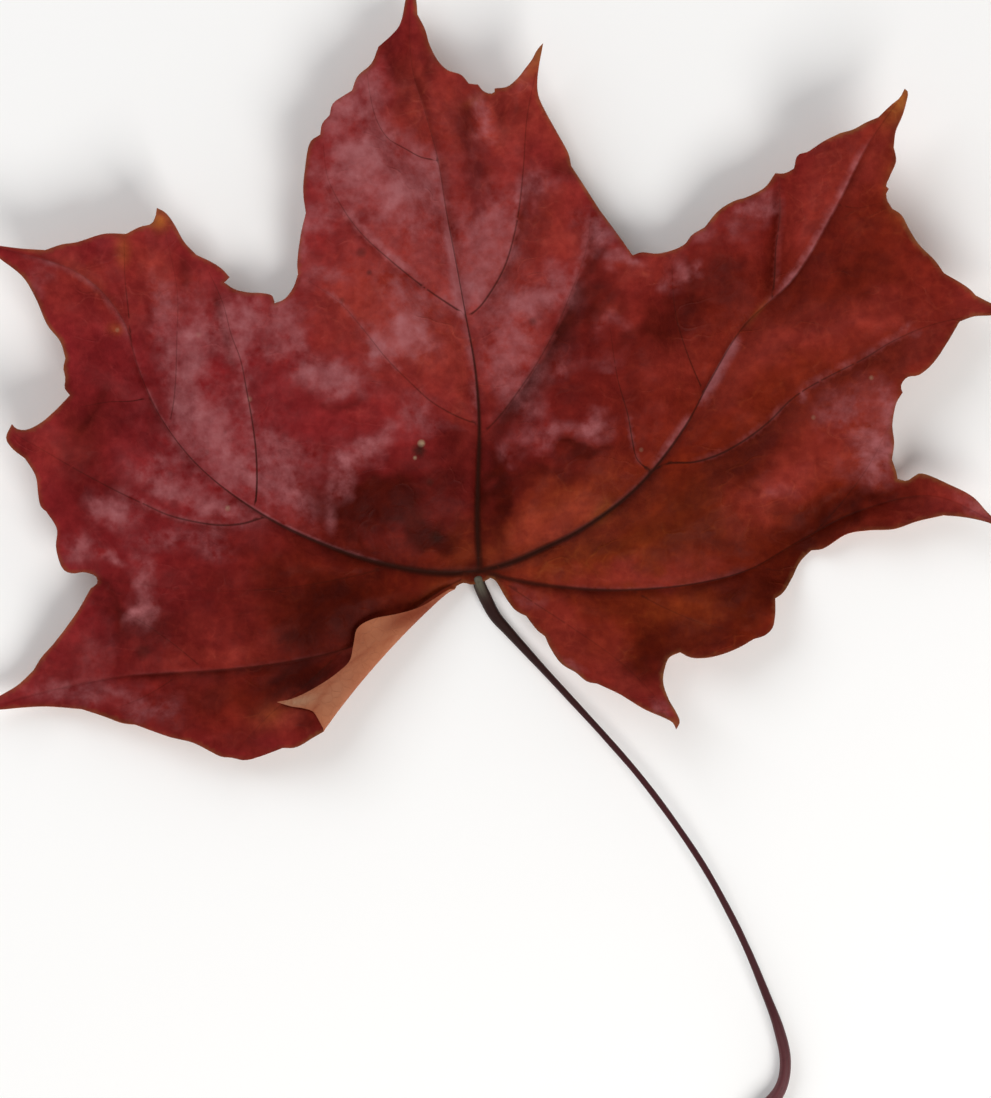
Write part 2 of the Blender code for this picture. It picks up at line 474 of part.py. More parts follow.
def make_stem():
    """The stem: rings of its own diameter carried along a bent, slightly arched line, with flat end faces."""
    route = smooth_curve(STEM_ROUTE, 0.5)
    along = np.concatenate([[0], np.cumsum(np.linalg.norm(np.diff(route, axis=0), axis=1))])
    share = np.linspace(0, 1, STEM_RINGS)
    line = np.stack([np.interp(share, along / along[-1], route[:, k]) for k in range(2)], axis=1)
    profile = smooth_curve(STEM_DIAMETERS, 0.02)
    radius = np.interp(share, profile[:, 0], profile[:, 1]) / 2
    z = radius + STEM_START_LIFT * (1 - share) + STEM_ARCH * np.sin(math.pi * share) ** STEM_ARCH_EASE
    line = np.column_stack([line, z])
    heading = np.gradient(line, axis=0)
    heading /= np.linalg.norm(heading, axis=1)[:, None]
    side = np.cross(heading, [0, 0, 1])
    side /= np.linalg.norm(side, axis=1)[:, None]
    up = np.cross(side, heading)
    turn = np.arange(STEM_SIDES) * 2 * math.pi / STEM_SIDES
    rings = line[:, None] + radius[:, None, None] * (
        side[:, None] * np.cos(turn)[None, :, None] + up[:, None] * np.sin(turn)[None, :, None])
    rings[..., 2] = np.maximum(rings[..., 2], 0)
    ring = np.arange(STEM_SIDES)
    after = (ring + 1) % STEM_SIDES
    faces = []
    for k in range(STEM_RINGS - 1):
        a, b = k * STEM_SIDES, (k + 1) * STEM_SIDES
        faces += [[a + i, b + i, b + j, a + j] for i, j in zip(ring, after)]
    last = (STEM_RINGS - 1) * STEM_SIDES
    faces += [list(ring), list(last + ring[::-1])]
    mesh_object("stem", rings.reshape(-1, 3), faces, STEM_BROWN, STEM_ROUGHNESS)


for old in list(bpy.data.objects):
    bpy.data.objects.remove(old)
make_blade()
make_stem()
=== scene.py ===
"""Looks of an autumn maple leaf lying with its upper face up.

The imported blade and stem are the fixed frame, and two finer pieces stand for them. Plan data is in
millimetres: x to the right and y from the stem towards the middle lobe's tip, as on a leaf laid flat. The
model's origin is on the surface below the hub, where the ribs meet.
"""

import math

import bpy
import numpy as np
from bpy.props import FloatProperty, FloatVectorProperty, PointerProperty
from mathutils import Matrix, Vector
from mathutils.geometry import delaunay_2d_cdt


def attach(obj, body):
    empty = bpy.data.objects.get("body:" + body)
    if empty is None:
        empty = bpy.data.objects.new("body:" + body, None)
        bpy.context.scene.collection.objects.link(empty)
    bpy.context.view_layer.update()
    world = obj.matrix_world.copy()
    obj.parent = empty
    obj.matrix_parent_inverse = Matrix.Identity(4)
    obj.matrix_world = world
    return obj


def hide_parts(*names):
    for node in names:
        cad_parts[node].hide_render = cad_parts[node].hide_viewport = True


bl_info = {
    "name": "Maple leaf",
    "version": (1, 0, 0),
    "blender": (4, 5, 0),
    "location": "3D View > Sidebar > Leaf",
    "description": "Builds a dried autumn maple leaf: its veined blade, its stem, and a pale studio",
    "category": "Add Mesh",
}

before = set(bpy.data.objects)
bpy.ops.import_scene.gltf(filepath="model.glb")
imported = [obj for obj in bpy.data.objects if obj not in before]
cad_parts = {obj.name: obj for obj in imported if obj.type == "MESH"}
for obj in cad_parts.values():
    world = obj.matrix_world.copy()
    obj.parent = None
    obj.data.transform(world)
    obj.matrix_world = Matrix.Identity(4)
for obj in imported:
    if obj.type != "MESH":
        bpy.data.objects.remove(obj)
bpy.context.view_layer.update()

MM = 0.001
HUB = np.array([-0.2, 1.1])

# The margin, anticlockwise from the right of the stem. Each run is one smooth curve that starts where the one
# before it ends, and the margin has a corner there.
RIGHT_BASAL_LOBE = [
    [(1.5, 0.1), (2.3, -0.4), (4, -3.2), (5.5, -5.1), (7.2, -6)],
    [(9, -8.3), (10.2, -9.2)],
    [(11, -11), (12.8, -13.6), (15.1, -15)],
    [(17, -16.5), (18.5, -16.8)],
    [(22, -18.4), (26, -20.8), (29.6, -22.4), (30.6, -23), (31.1, -24.1)],
    [(31.7, -22.9), (31.1, -21.3), (30, -19.4), (29.1, -16.6), (29.3, -14.5), (30.1, -12.6), (31.8, -11.8)],
    [(33.4, -12.6), (35.6, -12.7), (38.6, -12.1), (41.5, -10.9), (43.6, -9.7)],
    [(45.4, -9.1), (46.6, -7.9), (47, -5.8), (47, -3.2)],
    [(48.2, -2.4), (49.6, -0.3), (51.2, 2.8), (52.9, 4.5)],
    [(54.6, 4.7), (58.5, 7.1), (62, 7.7), (66, 7.9), (69.6, 9.1), (73.9, 10.1)],
    [(77, 9.8), (81, 8.9), (84, 7.4)],
    [(80.6, 10.8), (78.5, 13), (75, 14.9), (70.2, 16.8), (69.2, 16.3), (68.1, 15.6), (66.7, 15.9)],
]
RIGHT_LOBE = [
    [(66.3, 17.4), (65.7, 19)],
    [(66, 21.5), (65.7, 24.5), (66.3, 28), (67.3, 29.7)],
    [(67, 30.5), (67.3, 31.4), (68.2, 32.2), (69.7, 32.4), (72, 34.2), (74.5, 37.8), (76.4, 41)],
    [(78.6, 41.8), (81.5, 42), (84.9, 42.5)],
    [(81.4, 43.9), (78.9, 45.1)],
    [(77.8, 46.2), (73.8, 48.7)],
    [(72.4, 50.7), (69.8, 53.3), (68.2, 55.8), (67, 58), (65.6, 59)],
    [(64.8, 60.3), (64.6, 61.4)],
    [(65, 62.1)],
    [(64.6, 62.5), (65.2, 64.2), (66.1, 66.6), (65.7, 68.7)],
    [(66, 71.2), (67, 73.6), (67.7, 76), (67.9, 77.4), (67.4, 77.9)],
    [(66.6, 76.5), (65.4, 75.5), (63.3, 73.5)],
    [(61.4, 72.7), (59.4, 71.6), (57.3, 71)],
    [(54.8, 69.8), (52, 68), (50.5, 67.5), (50, 65.5)],
    [(48.5, 64.7), (47, 64.7)],
    [(45.4, 62.5), (42.4, 60.9), (40.4, 60.3), (38, 58.8), (35.7, 56.1)],
    [(33.7, 54.9), (32.5, 53.4), (30.4, 52.4), (28, 51.9), (25.6, 52.1), (24.2, 51.6)],
]
MIDDLE_LOBE = [
    [(21.4, 55.6), (19, 58.9), (16.6, 62.6), (14.4, 65.9)],
    [(14, 67.7), (12, 71.4), (10.2, 74.6), (9.1, 77.2), (9, 80), (9.9, 85.3)],
    [(8.9, 84.2), (8.1, 82.7), (7.1, 81.4), (5.9, 79.9), (4.2, 78.5), (2.2, 78.2)],
    [(2.1, 77.5), (1.2, 77.4), (0.2, 77.9), (-0.5, 78.8)],
    [(-2, 79)],
    [(-3.2, 80.4), (-5.4, 81.2), (-6.9, 82.7), (-8.3, 85.4), (-9, 87.8), (-10.2, 90.2)],
    [(-10.4, 92.6), (-11.4, 96)],
    [(-12.1, 92.5), (-13, 88.5), (-14.6, 86.5), (-16.4, 84.9)],
    [(-17.5, 82.3), (-19.7, 80.2), (-20.6, 77.9)],
    [(-22.2, 76.9), (-23.7, 75.8), (-24.2, 74)],
    [(-25.4, 72.6), (-25.7, 70.9)],
    [(-27.2, 69.8), (-28.1, 65.5), (-28.4, 61.5), (-28, 58.4)],
    [(-28.8, 55), (-29.4, 50.3), (-29.3, 48.6)],
    [(-30, 46.6), (-31.4, 44.7), (-33, 44)],
]
LEFT_LOBE = [
    [(-33.4, 45.2), (-35, 45.6), (-37.2, 45.7), (-39.4, 46.2), (-41.1, 47.3)],
    [(-40.2, 48.1)],
    [(-41.5, 49.5), (-43.2, 50.6), (-45.5, 51.7)],
    [(-47.4, 53.7), (-49.2, 56.9), (-50.4, 58.4), (-51.7, 59.1)],
    [(-52, 57.6), (-52.6, 56.6), (-54.4, 56.1), (-56.7, 55)],
    [(-60.2, 55), (-64.5, 53.7), (-67, 53.3), (-69.6, 52.4)],
    [(-73.2, 52.6), (-77, 53.1), (-80.2, 53.6)],
    [(-77, 51.2), (-73, 48), (-71, 44.6), (-69.2, 40.4), (-67.2, 37.8), (-66.4, 35.2)],
    [(-66.7, 33.6), (-66.4, 32), (-66.5, 30.4), (-65.7, 29.3)],
    [(-68, 26.8), (-70.3, 24.8), (-72.6, 23.7), (-74.1, 23.9), (-74.8, 24.6)],
    [(-75.7, 22.4), (-74.9, 20.9), (-72.7, 19.1)],
    [(-71.1, 16.3), (-70.7, 13), (-70.3, 11.4), (-69.5, 10.7)],
    [(-67.8, 7.9), (-67.9, 4.8), (-66.7, 1.4), (-65.4, 0.8), (-63.4, 1), (-61.5, 0.2), (-61.4, -0.8),
     (-62.4, -1.6)],
]
LEFT_BASAL_LOBE = [
    [(-64.8, -5.7), (-68.4, -10.5), (-70.3, -12.6), (-71.6, -14.7)],
    [(-74, -17), (-77, -18.8), (-81.6, -21.4)],
    [(-77, -21), (-70, -20.5), (-63.9, -20.9)],
    [(-60, -22.2), (-57.5, -23.1), (-55.3, -23.4)],
    [(-50, -25.3), (-46, -26.3), (-43.4, -27.6), (-41.6, -28.5), (-39.9, -28.7)],
    [(-37.8, -29.1), (-35.4, -28.5), (-31.7, -27.1)],
    [(-29.6, -27), (-26.6, -25.3), (-25.2, -24.5)],
]
# The rolled tooth's margin, where it lies over the blade.
ROLLED_TOOTH = [
    [(-25.2, -24), (-26, -22.5), (-26.8, -21.3), (-28.6, -20.7), (-30.6, -20.4), (-32.6, -19.8)],
    [(-32.6, -19.8), (-29, -18.8), (-25.2, -16.7), (-22.6, -14.8), (-21, -13.2), (-20.4, -10.6), (-19.8, -8),
     (-17.6, -6.6), (-13, -5.6), (-9.6, -4.5), (-6, -2.3)],
]
HUB_EDGE = [(-3.9, -1.2), (-2.8, -0.7), (-1.7, -1.0), (-0.4, -0.8), (0.9, -0.2)]

# The roll's outer edge, seen from above: where it leaves the margin beside the hub, and where it meets it.
ROLL_START = np.array([-4.6, -1.6])
ROLL_END = np.array([-25.1, -24.3])
ROLL_CALM = 0.9  # share of the fine relief that is left out beside the roll, where two sheets lie close
ROLL_CALM_REACH = 11.0
ROLL_SETTLE = 0.5  # share of the roll's height that the rolled tooth loses towards its own edge
ROLL_SETTLE_REACH = 3.5  # distance beyond the roll over which it loses it
ROLL_END_SLANT = 0.5  # how far past its end the tooth reaches, as a share of the distance from the roll
ROLL_RADIUS = 1.15  # half way along
ROLL_END_RADIUS = 0.40
ROLL_DIP = 1.0  # how far the roll's outer edge bows inwards half way along

# The five ribs, each from the hub to the tip of a lobe: half width of its dark line at either end, how dark
# that line is, and its points.
RIBS = {
    "middle": (0.46, 0.1, 0.95, [(-0.2, 1.1), (-0.6, 8), (-0.5, 16), (-0.3, 25), (-1, 34), (-2.4, 41.8),
        (-3.9, 50), (-5.6, 59), (-6.9, 67), (-9, 74.8), (-11.1, 82), (-11.4, 94.4)]),
    "left": (0.5, 0.1, 0.95, [(-0.2, 1.1), (-5, 0.8), (-10, 1.2), (-16, 2.4), (-22, 4.2), (-34, 9.6),
        (-45, 17.7), (-51.5, 26), (-55, 33.8), (-57.4, 41.5), (-64, 48.6), (-78.6, 53.2)]),
    "right": (0.46, 0.12, 0.95, [(-0.2, 1.1), (5, 2.6), (10, 4.8), (16, 7.8), (25, 14.6), (32.5, 24),
        (36.6, 31.5), (42, 40.3), (50, 48), (56.6, 59), (61.5, 68.8), (66.9, 76.8)]),
    "right_basal": (0.32, 0.1, 0.75, [(-0.2, 1.1), (6, -0.4), (12, -1.3), (22, -1.9), (34, -0.9), (43, 1.5),
        (51, 6), (60, 10.6), (72, 13.2), (82.4, 8.9)]),
    "left_basal": (0.14, 0.16, 0.5, [(-0.2, 1.1), (-6, -1.6), (-13, -6.4), (-20.5, -10.8), (-30, -13.2),
        (-42, -14.7), (-57, -15.7), (-70, -18.2), (-79.8, -21)]),
}
# The side veins, in the same form, each from its rib outwards, with how dark its line is.
SIDE_VEINS = {
    "middle_right": (0.17, 0.06, 0.8, [(-2.5, 41.7), (-0.5, 43.2), (1.5, 45.8), (3.8, 50), (5.3, 55),
        (6.2, 60), (6.8, 66), (7.4, 74), (9.5, 84)]),
    "middle_left": (0.16, 0.05, 0.8, [(-2.7, 42.3), (-8, 45.8), (-11, 48), (-15, 51.3), (-19, 55), (-22, 59),
        (-24.5, 64), (-25.3, 69.5)]),
    "tip_left": (0.12, 0.05, 0.8, [(-6.9, 67), (-9.5, 67.4), (-12, 68.7), (-15, 70.5), (-16.8, 73.5),
        (-17.8, 77.5), (-18.2, 80.5)]),
    "low_left": (0.14, 0.05, 0.6, [(-0.4, 24.6), (-4, 26), (-8, 28.3), (-11, 31), (-15, 35), (-19, 40),
        (-23, 44.5), (-27.5, 47.5)]),
    "low_right": (0.15, 0.05, 0.5, [(-0.3, 22.6), (3, 26), (6, 30), (9, 34.5), (12, 40), (14.5, 46),
        (16.5, 51.5), (17.5, 57), (17.6, 60)]),
    "left_up": (0.16, 0.06, 1, [(-36.2, 11.1), (-35.9, 15), (-36, 20), (-36.6, 25), (-37.5, 30), (-38.5, 35),
        (-40, 39), (-41.3, 44), (-43.5, 49)]),
    "left_down": (0.18, 0.06, 0.8, [(-34.6, 9.9), (-38, 8.8), (-41.5, 8.5), (-45, 8.9), (-50, 10.1),
        (-54, 11.9), (-58, 13.8), (-64, 17), (-70, 20.5), (-74.3, 23)]),
    "left_back": (0.12, 0.05, 0.8, [(-53.1, 29), (-56, 28.4), (-60, 28.2), (-64, 27.4)]),
    "left_far": (0.14, 0.05, 0.7, [(-56, 37), (-56.5, 43), (-57, 48), (-57, 54)]),
    "left_between": (0.1, 0.04, 0.5, [(-50, 24.3), (-49.3, 28), (-48.9, 32), (-48.7, 38), (-48.6, 46),
        (-50.6, 56)]),
    "right_down": (0.18, 0.06, 0.9, [(27.4, 17.3), (30, 18.4), (34, 18.6), (38, 19.8), (42, 22), (46, 25),
        (49.5, 28.5), (52, 30.3), (56, 32.5), (61, 35), (66, 38), (72, 40.5), (83, 42.8)]),
    "right_near": (0.13, 0.05, 0.9, [(27.3, 17), (25, 19), (24.2, 22), (23.5, 26), (21.8, 32), (20.6, 40)]),
    "right_inner": (0.13, 0.05, 0.7, [(35.7, 29.7), (34, 33.5), (32.3, 38), (31, 43), (30.5, 50)]),
    "right_up": (0.15, 0.05, 0.7, [(46.6, 44.6), (47, 48), (47.2, 53), (47.8, 58), (47.6, 64)]),
    "right_far": (0.12, 0.05, 0.4, [(57, 59.8), (60, 59.2), (64, 60)]),
    "basal_right": (0.12, 0.05, 0.4, [(2.2, 0.2), (8, -3.6), (15, -8.2), (22, -13.2), (27, -18),
        (30.6, -23)]),
    "basal_right_low": (0.12, 0.05, 0.4, [(24, -1.9), (30, -5), (36, -7.4), (42.5, -8.6)]),
    "basal_right_far": (0.12, 0.05, 0.4, [(43.6, 1.7), (50, 1.4), (52, 3.4)]),
    "basal_right_up": (0.12, 0.05, 0.4, [(53.5, 7.4), (58, 12.4), (62, 18), (65, 24)]),
    "basal_left_low": (0.12, 0.05, 0.4, [(-22, -11.4), (-28, -17), (-34, -22), (-39, -27.5)]),
    "basal_left_up": (0.12, 0.05, 0.4, [(-44, -14.9), (-50, -10), (-56, -6), (-62, -4)]),
    "basal_left_far": (0.12, 0.05, 0.4, [(-48, -15.3), (-54, -19), (-60, -21.4)]),
    "left_low": (0.12, 0.05, 0.3, [(-14, 1.9), (-22, 0), (-32, -1.6), (-44, -2), (-54, -1), (-61, 0)]),
}

# Heights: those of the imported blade, and the finer ones that are only here.
LAMINA = 0.30  # thickness of the blade between its ribs
HUB_HEIGHT = 2.30
HUB_RADIUS = 2.0
FOOT_RADIUS = 1.2
RIB_DEPTH = 0.95
RIB_END_DEPTH = 0.22
RIB_HALF_WIDTH = 0.75
RIB_GROOVE = 0.42  # how far the upper face is sunk over a rib at the hub
RIB_NARROW_START = 0.10  # share of a rib's length at which its dark line begins to narrow
RIB_NARROW_LENGTH = 0.36  # share of its length over which it does
RIB_DARK_REACH = 58.0  # distance from the hub over which the ribs' dark lines fade
VEIN_DEPTH = 0.34  # the side veins' ridges below, at the ribs
VEIN_HALF_WIDTH = 0.33
VEIN_GROOVE = 0.19
VEIN_GROOVE_REACH = 0.36
RIB_ARCH = [(0, HUB_HEIGHT), (12, 3.1), (26, 3.7), (40, 2.3), (54, 0.8), (66, 1.5), (80, 4.4), (96, 9),
    (112, 13.5)]
PUFF = 3.2
PUFF_REACH = 10.0
HEM_LIFT = 2.4
HEM_WIDTH = 6.0
HEM_MEAN = 0.45  # share of the lift that the whole margin has
HEM_SWING = 0.35  # share of the lift that the waves add and take away
RIPPLES = [(23, 1.0, 0.0), (37, 0.6, 1.3)]  # waves round the margin: how many, how strong, and their phase
RIPPLE_BLEND = 3.0  # distance over which neighbouring places of the margin blend
HUB_STIFFNESS = 16.0  # distance from the hub over which the puffs and the margin's waves grow
FIELD_PUFF = 1.5  # how far the fields between the side veins stand up
FIELD_REACH = 3.4
WRINKLES = [(0.32, 12.0, 3), (0.08, 5.5, 4), (0.03, 2.6, 5)]  # small waves: strength, wavelength, seed
CREASE_HEIGHT = 0.05
NET_DEPTH = 0.035
NET_SIZE = 4.4
EDGE_THINNING = 0.45  # share of its thickness that the blade loses at its margin
HUB_CALM_REACH = 6.0  # distance from the hub within which the fine relief is left out
LEAST_THICKNESS = 0.24
# Single swellings and hollows: centre's x and y, half sizes along and across, turn in degrees, height.
WAVES = [
    (0.5, 74, 5, 2.8, 80, 2.2), (-3, 68, 11, 2.6, 97, -1.4), (-18, 62, 14, 8, 120, 2),
    (13, 55, 12, 6, 120, 1.6), (-48, 36, 16, 4, 100, 2.2), (-62, 44, 8, 3, 140, 1.8), (-58, 20, 9, 8, 0, 1.4),
    (-55, -3, 9, 4, 80, 2.4), (-30, -22, 5, 3.5, 20, 1.5), (48, 55, 10, 2.4, 88, -2), (62, 24, 9, 7, 60, 2.4),
    (56, 12, 14, 3.5, 25, -1.8), (30, -10, 7, 4, 100, -2.2), (42, -4, 8, 4, 60, 1.8),
    (-20, 30, 12, 8, 30, 1.6), (24, 36, 10, 10, 0, 1.5), (-53, 29, 14, 8, 60, -0.75),
    (-4.5, 57, 12, 7, 95, -0.4), (-50, -16, 12, 6, 0, -0.4),
]
# Lift of the lobes' and teeth's tips: x, y, reach, height.
TIP_CURLS = [
    (-11.4, 96, 12, -3.5), (9.9, 85.3, 9, 3), (67.4, 77.9, 14, 4), (84.9, 42.5, 12, -2.5), (84, 7.4, 13, 3.5),
    (31.1, -24.1, 9, 3.5), (-80.2, 53.6, 12, 2.5), (-51.7, 59.1, 7, 2.5), (-74.8, 24.6, 7, 3),
    (-81.6, -21.4, 12, -1.5),
]

# Mesh steps and rows.
MARGIN_STEP = 0.6
VEIN_STEP = 0.7
GRID_STEP = 0.66
UV_SPAN = 258.0  # side of the square that the flat map fills
FINE_STEPS = 24  # places measured between two given points of a curve
RIB_WIDTHS = (RIB_HALF_WIDTH, 0.34)  # half width of the rows along a rib at either end
RIB_ROWS = (0, 0.33, -0.33, 0.66, -0.66, 1, -1)
VEIN_WIDTHS = (0.34, 0.26)
VEIN_ROWS = (0, 0.5, -0.5, 1.1, -1.1)
# Rings of points round the hub: radius, number of points.
HUB_RINGS = [(0.6, 6), (FOOT_RADIUS, 14), (1.6, 18), (HUB_RADIUS, 22), (HUB_RADIUS + 0.5, 26)]
MARK_RINGS = [(0.02, 1), (0.45, 6), (0.95, 12)]  # share of a mark's radius, points
NEIGHBOURS = [(i, j) for i in (-1, 0, 1) for j in (-1, 0, 1)]  # steps to a grid square and those round it

# Where the colours lie on the upper face: centre's x and y, half sizes along and across, turn in degrees,
# strength.
RUSSET_AREAS = [
    (52, 30, 40, 32, 30, 1), (8, -4, 26, 12, 0, 0.9), (-26, -2, 16, 13, 0, 0.7), (32, 0, 28, 16, 0, 0.9),
    (-36, -20, 22, 8, 0, 0.7), (-2, 75, 9, 6, 0, 0.5), (64, 66, 10, 14, 0, 0.5),
]
SCARLET_AREAS = [
    (-11, 80, 6, 1.8, 100, 0.9), (-6, 58, 24, 19, 90, 0.65), (-14, 40, 13, 9, 0, 0.6),
    (1.6, 72.6, 3.2, 2.2, 110, 1), (7, 79.5, 4, 1.8, 50, 1), (-7.6, 84.5, 6, 1.6, 112, 0.8),
    (-5, 74, 6, 3, 100, 0.5), (6, 73, 5, 3, 90, 0.6), (13, 56, 8, 4.5, 120, 0.6), (-67, 47, 7, 5, 140, 0.5),
    (-48, 47, 6, 5, 0, 0.4), (40, 30, 6, 4, 50, 0.35), (-10, 74, 4, 3, 100, 0.5),
    (11.5, 73, 7, 2.2, 120, 0.9), (5, 50, 7, 6, 70, 0.5), (6, 36, 9, 4, 60, 0.5), (-8, 36, 9, 6, 120, 0.5),
    (-20, 46, 8, 6, 30, 0.5), (-53, 50, 6, 3.5, 100, 0.9), (-61, 46.5, 8, 2, 137, 0.9),
    (-40, -12.3, 13, 2, 4, 0.8), (-44, -8, 6, 2, 0, 0.4), (-32, -22.5, 4.5, 2.6, 15, 0.9),
    (-67, 21.5, 7, 5, 30, 0.4), (52, 39, 12, 3.6, 18, 0.8), (64, 42, 6, 3, 25, 0.5), (56, 24, 13, 6, 40, 0.7),
    (46, 14, 7, 3.5, 25, 0.7), (52.5, 60, 9, 3, 62, 0.7), (61.5, 66, 6, 3, 60, 0.8), (72, 37, 5, 4, 50, 0.5),
    (76, 12.6, 7, 1.8, 155, 0.6), (25.5, 49.5, 4.5, 2.4, 10, 0.9), (21, 42.5, 4, 3, 30, 0.5),
    (30, 35, 4, 5, 110, 0.4), (14, -9, 10, 4, 140, 0.7), (25, -17.5, 6, 2.4, 145, 0.6),
    (24, 0.2, 16, 1.6, 2, 0.6), (10, 8, 10, 3.4, 28, 0.5), (-3, 30, 8, 2, 95, 0.5),
]
COPPER_AREAS = [
    (12, 10.5, 11, 4.5, 28, 0.8), (20, 4, 16, 3.5, 15, 0.7), (2, 4, 6, 3, 30, 0.5),
    (-4.5, 4.5, 4, 3.5, 0, 0.5), (34, 12, 8, 4, 20, 0.4), (32, -5, 10, 3.5, 0, 0.6),
    (-7, -1.8, 5, 1.8, 205, 0.6), (0.8, 73.5, 3.6, 2.2, 110, 0.3),
]
# Dark patches: partly the leaf's own darker tone, partly painted shade in hollows and on the shaded sides of
# humps, and the painted shadow of the rolled tooth on the blade beside it.
UMBER_AND_SHADE_AREAS = [
    (4.4, 73.8, 1.1, 3, 0, 0.4), (-3.2, 74.5, 0.9, 3, 10, 0.3), (-26, 15.5, 6, 4.5, 10, 0.45),
    (-14, 15, 8, 5, 10, 0.3), (-3, 22, 7, 5, 90, 0.28), (-4, 6, 4, 3.5, 0, 0.3), (4, 26, 5, 4, 20, 0.25),
    (-64, 12.5, 6, 5, 60, 0.25), (-54, -8.5, 9, 7, 0, 0.3), (-57, 14, 5, 3, 0, 0.2),
    (45, 17.5, 7, 3, 30, 0.25), (48, 3.5, 5, 4, 40, 0.2), (0.2, 1, 3, 1.4, 5, 0.8),
    (-18, 13.5, 7, 4, 20, 0.4), (-7, 5, 5, 2.4, 165, 0.4), (-50, -8, 9, 4.5, 0, 0.28),
    (-64, -13, 6, 3, 40, 0.25), (-22, 9.5, 5, 3, 160, 0.3), (-22, -4, 11, 6, 10, 0.85),
    (-29, -10, 8, 5, 0, 0.55), (-28.5, -16, 6, 2.6, 20, 0.9), (-33, 1, 12, 5, 160, 0.35),
    (-14, 11.5, 9, 4.5, 15, 0.75), (-9, 7, 4, 2.6, 150, 0.7), (-19, 5.5, 6, 1.6, 165, 0.5),
    (-4.5, 17, 4, 7, 0, 0.35), (2.6, 13, 2.4, 10, 0, 0.85), (6.5, 18.5, 3.5, 3, 0, 0.4),
    (11, 16.5, 9, 2.4, 20, 0.65), (15, 20.6, 6, 0.9, 5, 0.6), (15, 31, 6, 9, 0, 0.35),
    (18.5, 44, 6, 3, 60, 0.7), (30, 41, 8, 4, 30, 0.65), (38, 48, 6, 5, 0, 0.45), (24, 30, 3, 6, 0, 0.3),
    (44, 20.5, 9, 3, 32, 0.45), (33, 12, 8, 4, 10, 0.3), (25, 7, 7, 2.4, 10, 0.35),
    (37, 6.5, 8, 3.5, 5, 0.45), (61, 11.6, 12, 2.6, 20, 0.75), (52, 4.5, 5, 3, 55, 0.6),
    (44, -3, 5, 6, 120, 0.75), (26, -12.8, 5, 3.6, 60, 0.75), (36, -9.5, 8, 2, 5, 0.3),
    (60, 48, 8, 3, 25, 0.5), (58, 41.5, 8, 1.4, 15, 0.25), (66, 34.5, 8, 2.2, 28, 0.3),
    (-59, 27, 7, 6, 0, 0.3), (-64, 20, 3, 6, 10, 0.4), (-58, -3, 4, 7, 20, 0.3), (-44, -2, 10, 4, 0, 0.25),
    (-36, -18, 11, 2.6, 8, 0.35), (-27.2, -23.8, 1.8, 1.8, 0, 0.6), (-40, -26, 9, 2.4, 175, 0.3),
    (-13.8, 82, 6, 1.8, 108, 0.55), (-8.3, 82.5, 4.5, 1.8, 60, 0.5), (13.6, 66.3, 2.6, 1.8, 120, 0.6),
    (9, 57.5, 5, 2.4, 80, 0.35), (-5.5, 34, 3, 4, 0, 0.15), (2, 76.2, 2, 1, 0, 0.35),
]
